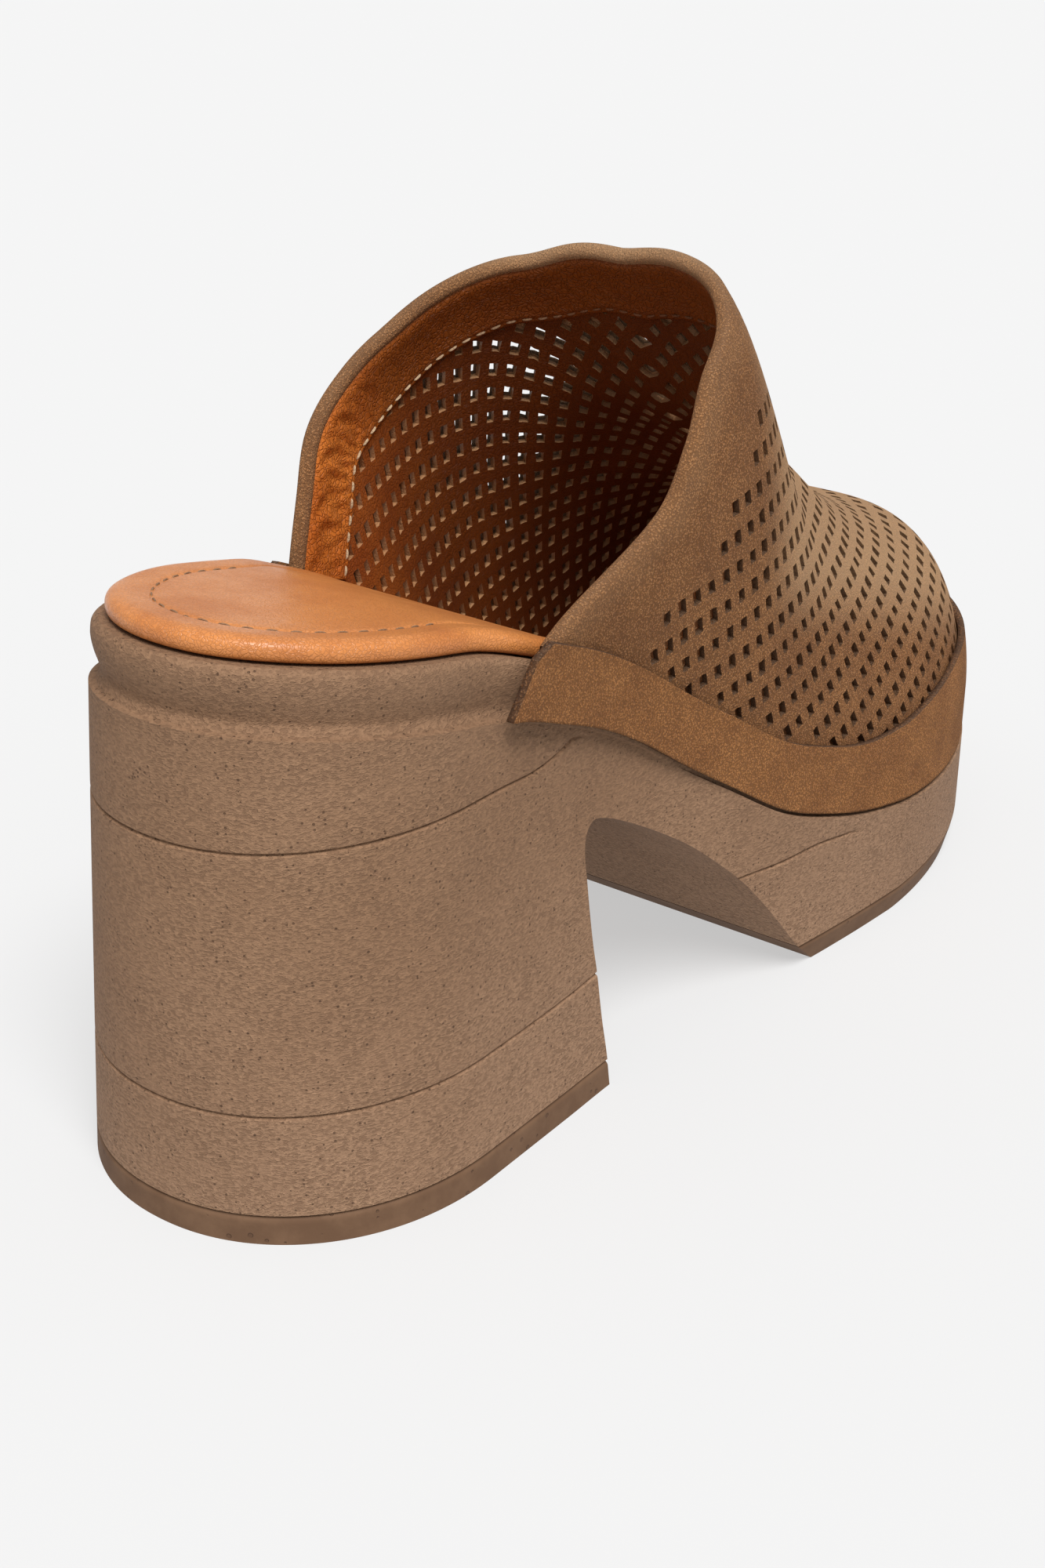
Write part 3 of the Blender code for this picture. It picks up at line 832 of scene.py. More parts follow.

# %% [markdown]
# ## Thread
#
# The facing's thread is painted brown where the facing lies in shade, and nearly white where light
# falls on its inner lower end. How far along its row a stitch stands is stored on its points, so one
# material gives both.

# %% Thread


def thread_look():
    """Sewing thread: painted brown as shade where the facing is dark, nearly white as light at the inner
    lower end.
    """
    made, tree, shader, vector = surface("thread", 0.7, 0.3)
    light = add(tree, "ShaderNodeAttribute", attribute_name="edge").outputs["Fac"]
    twist = noise(tree, vector, 3500.0, 2.0, 0.5)
    # Painted light and shade: along the row the thread turns from shaded brown to lit near-white.
    colour = blend(tree, spread(tree, light, 0.55, 0.8), (0.14, 0.048, 0.016), (0.50, 0.36, 0.22))
    colour = blend(tree, spread(tree, twist, 0.4, 0.7, 0.0, 0.4), colour, (0.10, 0.05, 0.025))
    tree.links.new(colour, shader.inputs["Base Color"])
    raise_by(tree, shader, twist, 0.0002)
    return made

# %% [markdown]
# ## The shoe's own materials
#
# Here the looks get their colours and sizes. Colours are linear values, set by comparing the
# rendered picture with the photograph by single tones.

# %% The shoe's materials
foam = foam_look()
rubber = rubber_look()
thread = thread_look()

# Light brown, dark brown, pale fibres, cells per metre, share of the pale tone painted on the upper side
# as light
suede = suede_look("suede", (0.500, 0.205, 0.060), (0.370, 0.140, 0.038),
                   (0.80, 0.50, 0.27), 4600.0, 0.55)
# Painted light: the rand is the vamp's suede given brighter browns.
rand_suede = suede_look("rand_suede", (0.600, 0.240, 0.064), (0.430, 0.158, 0.038),
                        (0.78, 0.44, 0.18), 4800.0, 0.0)
# Rim of the rand: darker suede, partly the cut edge's own tone and partly painted shade along the seam.
cut_edge_and_shade_suede = suede_look("cut_edge_and_shade_suede", (0.260, 0.102, 0.032), (0.150, 0.055, 0.018),
                       (0.60, 0.34, 0.16), 3600.0, 0.0)

# Light tone, dark tone, roughness, cells per metre, relief in metres, gloss, share of painted shade deep
# inside
insole_leather = leather_look("insole_leather", (0.600, 0.225, 0.062), (0.460, 0.150, 0.036),
                              0.36, 1500.0, 0.00009, 0.45, 0.0)
lining = leather_look("lining_leather", (0.330, 0.088, 0.016), (0.230, 0.050, 0.008),
                      0.50, 1300.0, 0.00016, 0.18, 0.75)
facing_leather = leather_look("facing_leather", (0.520, 0.155, 0.026), (0.380, 0.092, 0.013),
                              0.46, 1100.0, 0.00028, 0.15, 0.45)
print("materials:", len(bpy.data.materials))

# %% [markdown]
# ## The foam unit
#
# Heel, arch and platform are one moulding. Its wall is lofted through many rings, from the tread
# to the rolled rim, and the arch is then cut through it by a long prism whose outline is a smooth
# curve through the arch's table.

# %% Foam unit
SCORE_WIDTH = 0.00026
SCORE_DEPTH = 0.00055
SCORE_ZONE = 0.9 * MM
LOW_CLEAR = 2.4 * MM
HIGH_CLEAR = 1.1 * MM
SCORES_APART = 2.2 * MM
ARCH_STEPS = 5

# Scored lines in metres: place along the shoe, height over the floor
LOW_SCORE = (
    (-0.02, 0.0220), (0.030, 0.0220), (0.0727, 0.0255), (0.0830, 0.0249), (0.0932, 0.0249),
    (0.1056, 0.0236), (0.1118, 0.0235), (0.1231, 0.0222), (0.20, 0.0205),
)
HIGH_SCORE = (
    (-0.03, 0.0648), (0.012, 0.0643), (0.0215, 0.0640), (0.0270, 0.0648), (0.0304, 0.0657),
    (0.050, 0.0720),
)


def score_lines(x):
    """Heights of the two scored lines: a low one that runs on along the platform, and a high one."""
    return smooth(LOW_SCORE, 1, x), smooth(HIGH_SCORE, 1, x)


def wall_height(x, zone, part):
    """Height of a ring of the wall: a part of the way through a zone, counted from the tread up."""
    base = OUTSOLE + GAP + tread(x)
    top = feather(x) - BAND_WIDTH
    low, high = score_lines(x)
    low = np.minimum(low, top - LOW_CLEAR)
    high = np.minimum(high, top - HIGH_CLEAR)
    low = np.minimum(low, high - SCORES_APART)
    if zone == "low":
        return base + (low - SCORE_ZONE - base) * part
    if zone == "at_low":
        return low + part
    if zone == "middle":
        return low + SCORE_ZONE + (high - low - 2 * SCORE_ZONE) * part
    if zone == "at_high":
        return high + part
    return high + SCORE_ZONE + (top - high - SCORE_ZONE) * part


def scored_inset(x, z):
    """Inset of the wall at a height, with a bell-shaped groove at each scored line."""
    low, high = score_lines(x)
    top = feather(x) - BAND_WIDTH
    low_depth = bump(z, low, SCORE_WIDTH) * ramp(top - low, LOW_CLEAR, 3.4 * MM)
    high_depth = bump(z, high, SCORE_WIDTH) * ramp(top - high, HIGH_CLEAR, 2.0 * MM)
    return wall_inset(x, z) + SCORE_DEPTH * (low_depth + high_depth)


def sole_rings(count=150):
    """Rings of the foam unit: the wall with its scored lines, then the rim band."""
    near = np.array([-0.9, -0.4, -0.2, -0.1, 0.0, 0.1, 0.2, 0.4, 0.9]) * MM
    plan = [("low", part) for part in np.linspace(0.0, 0.94, 6)]
    plan += [("at_low", step) for step in near]
    plan += [("middle", part) for part in np.linspace(0.06, 0.94, 8)]
    plan += [("at_high", step) for step in near]
    plan += [("high", part) for part in np.linspace(0.1, 1.0, 5)]
    rim = [np.linspace(0.0, 0.16, 6), np.linspace(0.2, 0.86, 12), np.linspace(0.89, 1.0, 6)]
    rings = [full_ring(lambda x: scored_inset(x, wall_height(x, zone, part)),
                       lambda x: wall_height(x, zone, part), count) for zone, part in plan]
    rings += [full_ring(lambda x: rim_inset(x, part),
                        lambda x: feather(x) - BAND_WIDTH * (1 - part) + GAP * (1 - part), count)
              for part in np.concatenate(rim)]
    print("rings of the foam unit:", len(rings))
    return rings

# %% [markdown]
# ## The arch
#
# The wall is lofted as if heel and platform were one block, and the arch is then cut out by a long
# prism. The cut gives the crisp edge that the photograph shows between wall and arch. Bending the
# rings into the arch instead would round that edge. The prism's outline is a smooth curve through
# the arch's table, taken in short steps, so hardly a facet shows under the waist.

# %% Arch


def arch_cutter():
    """Prism through the shoe with the arch's outline, a smooth curve through its table."""
    breast = REAR + HEEL_DEPTH
    span = TREAD_START - breast
    x, z = np.transpose(profile(ARCH, ARCH_STEPS * (len(ARCH) - 1) + 1))
    x = np.concatenate([[breast], breast + x * span, [TREAD_START]])
    z = np.concatenate([[-OUTSOLE], z * ARCH_HEIGHT, [-OUTSOLE]])
    sides = [np.stack([x, np.full_like(x, y), z], axis=-1) for y in (-BALL_WIDTH, BALL_WIDTH)]
    points = np.concatenate(sides)
    count = len(x)
    mesh = bpy.data.meshes.new("arch_cutter")
    walls = [(k, (k + 1) % count, count + (k + 1) % count, count + k) for k in range(count)]
    mesh.from_pydata(points.tolist(), [], walls + [tuple(range(count)), tuple(range(count, 2 * count))])
    work = bmesh.new()
    work.from_mesh(mesh)
    bmesh.ops.recalc_face_normals(work, faces=work.faces)
    work.to_mesh(mesh)
    work.free()
    return bpy.data.objects.new("arch_cutter", mesh)


def cut_arch(piece):
    """Takes the arch out of a piece and puts the result into its mesh."""
    cutter = arch_cutter()
    bpy.context.scene.collection.objects.link(cutter)
    cut = piece.modifiers.new("arch", "BOOLEAN")
    cut.operation = "DIFFERENCE"
    cut.object = cutter
    graph = bpy.context.evaluated_depsgraph_get()
    made = bpy.data.meshes.new_from_object(piece.evaluated_get(graph))
    piece.modifiers.clear()
    piece.data = made
    made.shade_smooth()
    made.set_sharp_from_angle(angle=np.radians(35))
    bpy.data.objects.remove(cutter)
    print(f"{piece.name}: {len(made.polygons)} faces after the cut")


unit = loft("foam_unit", sole_rings(), foam)
cut_arch(unit)
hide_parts("sole_unit")

# %% [markdown]
# ## Outsole strips
#
# Two strips of rubber are glued under the foam, one under the heel and one under the platform.
# They follow the plan, tuck in a little at the floor, and have a fine groove at the top where they
# meet the foam. They end flat where the arch begins, so each is its own loft.

# %% Outsole strips
GROOVE = 0.0006


def arch_edge(z, rear):
    """Place of the breast or of the tread's back face at a height just over the floor."""
    table = np.array(ARCH[:3] if rear else ARCH[::-1][:3])
    part = np.interp(z / ARCH_HEIGHT, table[:, 1], table[:, 0])
    breast = REAR + HEEL_DEPTH
    return breast + part * (TREAD_START - breast)


def outsole_rings(rear):
    """Rings of a tread strip: flat underneath, tucked in at the floor, a groove near its top."""
    rings = []
    for z in np.linspace(0.0, OUTSOLE, 13):
        def inset_of(x):
            """Inset of this ring, growing into the groove at the strip's top."""
            return wall_inset(x, z) + GROOVE * ramp(z, OUTSOLE - GROOVE, OUTSOLE)

        start, end = ring_ends(inset_of)
        edge = arch_edge(z, rear)
        if rear:
            x = stations(start, edge, 90, True, False)
        else:
            x = stations(edge, end, 110, False, True)
        inset = inset_of(x)
        inset[0 if rear else -1] = start - REAR if rear else TIP - end
        rings.append(ring(x, inset, z + tread(x)))
    return rings


for node, rear in (("outsole_heel", True), ("outsole_forefoot", False)):
    strip = loft(node.replace("outsole", "rubber"), outsole_rings(rear), rubber)
    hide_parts(node)

# %% [markdown]
# ## The padded insole
#
# The footbed is leather over a thin pad, rolled at its edge and standing a little above the rim.
# Its profile is a short table: from the underside round the roll, down into the shallow pressed
# line that carries the stitches, and on to the middle. The profile is swept round the whole shoe
# and gets thinner towards the front.

# %% Insole
SEAM_PULL = 1.79

# Profile of the insole from its underside to its middle: inset and height as shares of thickness
INSOLE_PROFILE = (
    (0.30, 0.0), (0.06, 0.14), (0.0, 0.45), (0.08, 0.72), (0.28, 0.90), (0.62, 1.0), (1.1, 0.99),
    (1.55, 0.955), (1.72, 0.90), (SEAM_PULL, 0.88), (1.86, 0.90), (2.1, 0.95), (3.0, 0.96),
    (4.2, 0.95), (6.0, 0.95),
)


def insole_inset(x):
    """Inset of the insole: close to the rim at the heel, inside the upper's wall in front."""
    on_rim = taper(x, feather(x)) + VALLEY_DEPTH * RIM[-3][1] + INSOLE_LEDGE
    in_upper = seat_inset(x) + UPPER_WALL + 2 * GAP
    return on_rim + (in_upper - on_rim) * ramp(share(x), 0.20, 0.25)


def insole_thickness(x):
    """Thickness of the insole: full at the heel, thinner from the instep on."""
    return INSOLE_HEEL + (INSOLE_FRONT - INSOLE_HEEL) * ramp(share(x), 0.20, 0.45)


def insole_rings(count=150):
    """Rings of the padded insole: a rolled edge over the rim and a slightly dished top."""
    return [full_ring(lambda x: insole_inset(x) + insole_thickness(x) * pull,
                      lambda x: feather(x) + GAP + insole_thickness(x) * lift, count)
            for pull, lift in profile(INSOLE_PROFILE, 57)]


insole = loft("leather_insole", insole_rings(), insole_leather)
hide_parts("insole")

# %% [markdown]
# ## The vamp's flat pattern
#
# A vamp is cut from flat suede and pulled over the last, so its holes are punched in a regular
# lattice on the flat piece. To put them where lasting leaves them, the form's surface is
# flattened first, the way a pattern maker flattens a last's shell: every small triangle keeps
# its own shape as nearly as it can, and only turns (as rigid as possible). The two steps, turning
# the triangles and then solving for the points, repeat until nothing moves.

# %% Surface of the vamp by row and column
SHEET_ROWS = 44
SHEET_COLUMNS = 57
SHEET_REACH = 0.93
SHEET_LOW = 0.0014


def sheet_turn(r, c):
    """Place along and turn round the section for a row part r and a column part c, both 0 to 1."""
    forward = np.sin(np.pi / 2 * SHEET_REACH * r)
    side = topline(0.0 * r)
    low_x = side + (TIP - SEAT - side) * forward
    low = np.arcsin(np.clip(SHEET_LOW / upper_height(low_x), 0.0, 0.9) ** (1 / CROWN_POWER))
    turn = low + (np.pi - 2 * low) * c
    start = topline(turn)
    return start + (TIP - SEAT - start) * forward, turn


def sheet_point(r, c, depth=0.0):
    """Point of the vamp at a depth under its outer face, moved in along the surface's normal."""
    step = 1e-4
    point = upper_point(*sheet_turn(r, c))
    along_r = upper_point(*sheet_turn(r + step, c)) - upper_point(*sheet_turn(r - step, c))
    along_c = upper_point(*sheet_turn(r, c + step)) - upper_point(*sheet_turn(r, c - step))
    normal = np.cross(along_r, along_c)
    normal = normal / np.maximum(np.linalg.norm(normal, axis=-1, keepdims=True), 1e-12)
    return point - normal * np.asarray(depth)[..., None]

# %% [markdown]
# ## Turning the triangles and solving
#
# The first step lays each triangle in its own plane, without any change of shape. Then two steps
# repeat: every triangle is turned to fit the present flat places best, and all the places are
# solved together so that the sides agree with the turned triangles. The weights of the sides come
# from the angles opposite, so the result depends little on how the surface was divided.

# %% Flattening


def triangle_frames(points, triangles):
    """Each triangle's corners in its own plane: first corner at the origin, first side on the axis."""
    a = points[triangles[:, 1]] - points[triangles[:, 0]]
    b = points[triangles[:, 2]] - points[triangles[:, 0]]
    normal = np.cross(a, b)
    normal = normal / np.linalg.norm(normal, axis=1, keepdims=True)
    first = a / np.linalg.norm(a, axis=1, keepdims=True)
    second = np.cross(normal, first)
    flat = np.zeros((len(triangles), 3, 2))
    flat[:, 1, 0] = (a * first).sum(1)
    flat[:, 2, 0] = (b * first).sum(1)
    flat[:, 2, 1] = (b * second).sum(1)
    return flat


def flatten(points, triangles, fixed, guess, rounds=40):
    """As-rigid-as-possible flattening: turn each triangle to fit, then solve all the points."""
    frames = triangle_frames(points, triangles)
    count = len(points)
    matrix = np.zeros((count, count))
    sides = []
    for k in range(3):
        i, j, o = k, (k + 1) % 3, (k + 2) % 3
        u, v = frames[:, i] - frames[:, o], frames[:, j] - frames[:, o]
        weight = np.maximum((u * v).sum(1) / np.abs(u[:, 0] * v[:, 1] - u[:, 1] * v[:, 0]), 1e-3)
        start, end = triangles[:, i], triangles[:, j]
        sides.append((start, end, weight[:, None], frames[:, i] - frames[:, j]))
        np.add.at(matrix, (start, start), weight)
        np.add.at(matrix, (end, end), weight)
        np.add.at(matrix, (start, end), -weight)
        np.add.at(matrix, (end, start), -weight)
    matrix[fixed] = 0.0
    matrix[fixed, fixed] = 1.0
    inverse = np.linalg.inv(matrix)
    flat = guess.copy()
    for _ in range(rounds):
        fit = sum(np.einsum("ni,nj->nij", w * (flat[s] - flat[e]), shape) for s, e, w, shape in sides)
        angle = np.arctan2(fit[:, 1, 0] - fit[:, 0, 1], fit[:, 0, 0] + fit[:, 1, 1])
        cos, sin = np.cos(angle), np.sin(angle)
        turned = np.stack([np.stack([cos, -sin], 1), np.stack([sin, cos], 1)], 1)
        pull = np.zeros((count, 2))
        for s, e, w, shape in sides:
            part = w * np.einsum("nij,nj->ni", turned, shape)
            np.add.at(pull, s, part)
            np.add.at(pull, e, -part)
        pull[fixed] = 0.0
        flat = inverse @ pull
    return flat

# %% [markdown]
# ## The vamp laid flat
#
# The surface is divided into rows and columns, and each small square into two triangles. The first
# guess is the length along each row against the place along the shoe. The result is turned so that
# the ridge runs straight up. Its size is printed: this is the piece a maker would cut.

# %% The vamp flattened
row_parts, column_parts = np.linspace(0, 1, SHEET_ROWS), np.linspace(0, 1, SHEET_COLUMNS)
sheet_r, sheet_c = np.meshgrid(row_parts, column_parts, indexing="ij")
form = sheet_point(sheet_r, sheet_c)
quads = faces_of_grid(SHEET_ROWS, SHEET_COLUMNS, False)
even = np.arange(len(quads)) % 2 == 0
halves = np.concatenate([quads[even][:, [0, 2, 3]], quads[even][:, [0, 1, 2]],
                         quads[~even][:, [0, 1, 3]], quads[~even][:, [3, 1, 2]]])
lengths = np.linalg.norm(np.diff(form, axis=1), axis=2)
girth = np.concatenate([np.zeros((SHEET_ROWS, 1)), np.cumsum(lengths, axis=1)], axis=1)
girth = girth - girth[:, SHEET_COLUMNS // 2][:, None]
guess = np.stack([girth.ravel(), form[:, :, 0].ravel()], axis=1)
middle_point = (SHEET_ROWS // 2) * SHEET_COLUMNS + SHEET_COLUMNS // 2
pattern = flatten(form.reshape(-1, 3), halves, middle_point, guess).reshape(SHEET_ROWS, SHEET_COLUMNS, 2)
spine = pattern[-1, SHEET_COLUMNS // 2] - pattern[0, SHEET_COLUMNS // 2]
lean = np.arctan2(spine[0], spine[1])
upright = np.array([[np.cos(lean), np.sin(lean)], [-np.sin(lean), np.cos(lean)]])
pattern = (pattern - pattern[0, SHEET_COLUMNS // 2]) @ upright
print("flat pattern, mm:", np.round(np.ptp(pattern.reshape(-1, 2), axis=0) / MM, 1))

# %% [markdown]
# ## There and back
#
# A hole is laid out in the flat and belongs on the form, so its flat place has to be turned into a
# row and a column. The nearest known point is the start, and a few steps down the slope of the
# difference find the rest.

# %% Between the flat pattern and the form


def pattern_at(r, c):
    """Flat place of a row and column part, by straight blending between the four nearest points."""
    row = np.clip(r * (SHEET_ROWS - 1), 0.0, SHEET_ROWS - 1 - 1e-9)
    column = np.clip(c * (SHEET_COLUMNS - 1), 0.0, SHEET_COLUMNS - 1 - 1e-9)
    i, j = row.astype(int), column.astype(int)
    a, b = (row - i)[..., None], (column - j)[..., None]
    low = pattern[i, j] * (1 - b) + pattern[i, j + 1] * b
    high = pattern[i + 1, j] * (1 - b) + pattern[i + 1, j + 1] * b
    return low * (1 - a) + high * a


def sheet_place(flat):
    """Row and column parts of flat places: the nearest point, then steps towards the place."""
    flat = np.asarray(flat, dtype=float)
    nearest = np.concatenate([
        np.argmin(((part[:, None, :] - pattern.reshape(1, -1, 2)) ** 2).sum(2), axis=1)
        for part in np.array_split(flat, max(1, len(flat) // 800))])
    r = (nearest // SHEET_COLUMNS) / (SHEET_ROWS - 1)
    c = (nearest % SHEET_COLUMNS) / (SHEET_COLUMNS - 1)
    step = 2e-3
    for _ in range(9):
        miss = flat - pattern_at(r, c)
        back_r, on_r = np.clip(r - step, 0, 1), np.clip(r + step, 0, 1)
        back_c, on_c = np.clip(c - step, 0, 1), np.clip(c + step, 0, 1)
        by_r = (pattern_at(on_r, c) - pattern_at(back_r, c)) / (on_r - back_r)[:, None]
        by_c = (pattern_at(r, on_c) - pattern_at(r, back_c)) / (on_c - back_c)[:, None]
        area = by_r[:, 0] * by_c[:, 1] - by_r[:, 1] * by_c[:, 0]
        area = np.where(np.abs(area) < 1e-9, 1e-9, area)
        move_r = (miss[:, 0] * by_c[:, 1] - miss[:, 1] * by_c[:, 0]) / area
        move_c = (by_r[:, 0] * miss[:, 1] - by_r[:, 1] * miss[:, 0]) / area
        r = np.clip(r + np.clip(move_r, -0.03, 0.03), 0.0, 1.0)
        c = np.clip(c + np.clip(move_c, -0.03, 0.03), 0.0, 1.0)
    return r, c

# %% [markdown]
# ## The topline in the flat
#
# The topline is the first row of the flat piece. The lines that run along it, such as the plain
# band, the facing's edge and its seam, keep a fixed distance from it. Its inward direction is
# smoothed a little, so that small bends in the topline don't grow into knots further in.

# %% The topline in the flat
EDGE_COUNT = 181
edge_c = np.linspace(0.0, 1.0, EDGE_COUNT)
edge_flat = pattern_at(np.zeros(EDGE_COUNT), edge_c)
edge_way = np.gradient(edge_flat, axis=0)
edge_inwards = np.stack([-edge_way[:, 1], edge_way[:, 0]], axis=1)
blur = np.hanning(31)
for column in (0, 1):
    padded_way = np.pad(edge_inwards[:, column], 15, mode="edge")
    edge_inwards[:, column] = np.convolve(padded_way, blur / blur.sum(), mode="valid")
edge_inwards = edge_inwards / np.linalg.norm(edge_inwards, axis=1, keepdims=True)


def edge_line(distance):
    """Flat line that runs at a distance inside the topline."""
    return edge_flat + edge_inwards * np.asarray(distance)[..., None]


EDGE_LENGTH = np.linalg.norm(np.diff(edge_flat, axis=0), axis=1).sum()
print("topline in the flat, mm:", round(EDGE_LENGTH / MM))

# %% [markdown]
# ## Square holes in a diagonal lattice
#
# The holes are about 2 mm square and stand in a lattice whose two directions run diagonally
# across the vamp. Lasting bends the lattice a little, lower at the flanks, which one squared term
# describes. The flat piece is then divided into triangles that keep the edges of the holes, and
# each point is carried back to the form, so the holes are real, with walls through suede and
# lining.

# %% Lattice of the perforations
# Lattice in metres: steps across and along, and the width that bends it by one step
HOLE_ACROSS = 0.00600
HOLE_ALONG = 0.00640
HOLE_BEND = 0.0440
LATTICE_REACH = 100

# Half widths of the holes in lining and suede, and their ragged corners, in lattice steps
HOLE_HALF = 0.235
SUEDE_HALF = 0.225
HOLE_TEAR = 0.030

# Leather in metres: plain bands without holes, the roll's radius and the suede's thickness
HOLE_CLEAR = 1.9 * MM
PLAIN_BAND = 0.0158
COVERED_BAND = 0.0140 - 0.0015
ROLL = 0.00145
SUEDE_DEPTH = 0.0012


def flat_of_lattice(a, b):
    """Flat place of lattice numbers: across by half their difference, along by half their sum."""
    across = (a - b) / 2 * HOLE_ACROSS
    along_it = ((a + b) / 2 + (across / HOLE_BEND) ** 2) * HOLE_ALONG
    return np.stack([across, along_it], axis=-1)


def lattice_of_flat(flat):
    """Lattice numbers of a flat place, the other way round."""
    rise = flat[..., 1] / HOLE_ALONG - (flat[..., 0] / HOLE_BEND) ** 2
    return rise + flat[..., 0] / HOLE_ACROSS, rise - flat[..., 0] / HOLE_ACROSS

# %% [markdown]
# ## Asking where a point lies
#
# Punching needs three answers for a flat point: whether it lies in an outline, how far it is from
# a line, and which hole stands nearest. All of them are worked out for many points at once.

# %% Tests on the flat piece


def inside(points, loops):
    """Whether each flat point lies in its loop: a level line from it crosses it an odd number of times."""
    x, y = points[:, 0][:, None], points[:, 1][:, None]
    x1, y1 = loops[..., 0], loops[..., 1]
    x2, y2 = np.roll(x1, -1, axis=-1), np.roll(y1, -1, axis=-1)
    rise = np.where(y2 == y1, 1e-15, y2 - y1)
    crossed = ((y1 > y) != (y2 > y)) & (x < (x2 - x1) * (y - y1) / rise + x1)
    return crossed.sum(1) % 2 == 1


def distance_to(points, line):
    """Distance of flat points from the nearest point of a line."""
    return np.sqrt(((points[:, None, :] - line[None, :, :]) ** 2).sum(2)).min(1)


def nearest_hole(points, holes):
    """Which hole stands nearest to each flat point, -1 for none, and how far off in lattice steps."""
    a, b = lattice_of_flat(points)
    near_a, near_b = np.round(a).astype(int), np.round(b).astype(int)
    middle = LATTICE_REACH
    number = np.full((2 * middle, 2 * middle), -1)
    number[holes[:, 0] + middle, holes[:, 1] + middle] = np.arange(len(holes))
    last = 2 * middle - 1
    hole = number[np.clip(near_a + middle, 0, last), np.clip(near_b + middle, 0, last)]
    return hole, np.maximum(np.abs(a - near_a), np.abs(b - near_b))

# %% [markdown]
# ## Punching
#
# On the real shoe a press punches the flat suede with a plate of square pins, and only where whole
# holes fit. Each hole here has eight corner points, moved a little at random, because a punched
# edge in suede is never quite straight. Between the holes a net of seed points keeps the triangles
# even, so that the sheet bends smoothly on the form.

# %% Punching the flat piece


def sheet_loop(edge):
    """Outer loop of a flat piece: a line inside the topline, then the other three sides."""
    t = np.linspace(0.0, 1.0, 120)[1:-1]
    inner_side = pattern_at(t, np.ones_like(t))
    toe_side = pattern_at(np.ones(60), np.linspace(1.0, 0.0, 60))
    outer_side = pattern_at(t[::-1], np.zeros_like(t))
    rest = np.concatenate([inner_side, toe_side, outer_side])
    rest = rest[distance_to(rest, edge_flat) > np.linalg.norm(edge[0] - edge_flat[0]) + 0.4 * MM]
    return np.concatenate([edge, rest])


def whole_holes(loop, margin):
    """Lattice numbers of the holes that lie wholly in a loop and far enough from the topline."""
    a, b = np.meshgrid(np.arange(-40, 41), np.arange(-40, 41), indexing="ij")
    numbers = np.stack([a.ravel(), b.ravel()], axis=1)
    centres = flat_of_lattice(*numbers.T)
    low, high = loop.min(0), loop.max(0)
    near = ((centres > low) & (centres < high)).all(1)
    numbers, centres = numbers[near], centres[near]
    keep = inside(centres, loop) & (distance_to(centres, edge_flat) > margin)
    keep &= distance_to(centres, loop) > HOLE_CLEAR
    return numbers[keep]


tear = np.random.default_rng(7)


def punched_sheet(edge, margin, h):
    """Triangles of a flat piece with holes of half width h left open: points, triangles, corners."""
    loop = sheet_loop(edge)
    holes = whole_holes(loop, margin)
    around = [(-h, -h), (0.1 * h, -h), (h, -h), (h, 0.1 * h),
              (h, h), (-0.1 * h, h), (-h, h), (-h, -0.1 * h)]
    torn = tear.uniform(-HOLE_TEAR, HOLE_TEAR, (len(holes), 8, 2))
    torn = torn + tear.uniform(-0.02, 0.03, (len(holes), 1, 1)) * np.sign(around)[None]
    corners = np.stack([flat_of_lattice(holes[:, 0] + p + torn[:, k, 0], holes[:, 1] + q + torn[:, k, 1])
                        for k, (p, q) in enumerate(around)], axis=1)
    steps = np.arange(-40, 41, 0.5)
    a, b = np.meshgrid(steps, steps, indexing="ij")
    seeds = flat_of_lattice(a.ravel(), b.ravel())
    low, high = loop.min(0), loop.max(0)
    seeds = seeds[((seeds > low) & (seeds < high)).all(1)]
    seeds = seeds[inside(seeds, loop)]
    seeds = seeds[distance_to(seeds, loop) > 0.8 * MM]
    hole, off = nearest_hole(seeds, holes)
    seeds = seeds[~((hole >= 0) & (off < HOLE_HALF + 0.07))]
    points = np.concatenate([loop, corners.reshape(-1, 2), seeds])
    rim = np.arange(len(loop))
    edges = [tuple(e) for e in np.stack([rim, np.roll(rim, -1)], axis=1).tolist()]
    first = len(loop) + 8 * np.arange(len(holes))[:, None]
    k = np.arange(8)[None, :]
    sides = np.stack([first + k, first + (k + 1) % 8], axis=-1).reshape(-1, 2)
    edges += [tuple(e) for e in sides.tolist()]
    made = delaunay_2d_cdt([Vector(p) for p in (points / MM).tolist()], edges, [], 0, 1e-5)
    points = np.array([tuple(p) for p in made[0]]) * MM
    triangles = np.array(made[2])
    centres = points[triangles].mean(1)
    hole, off = nearest_hole(centres, holes)
    kept = inside(centres, loop) & ~(inside(centres, corners[hole]) & (hole >= 0))
    print(f"flat piece: {len(holes)} holes, {int(kept.sum())} triangles")
    return points, triangles[kept], corners

# %% [markdown]
# ## Layers with real thickness
#
# A layer is the same triangles twice, on its outer and its inner face, with walls down the holes.
# The walls have points of their own, so that they keep a sharp edge and can be darker: in the suede partly
# their own tone, partly painted shade inside the holes.

# %% Layers with real thickness


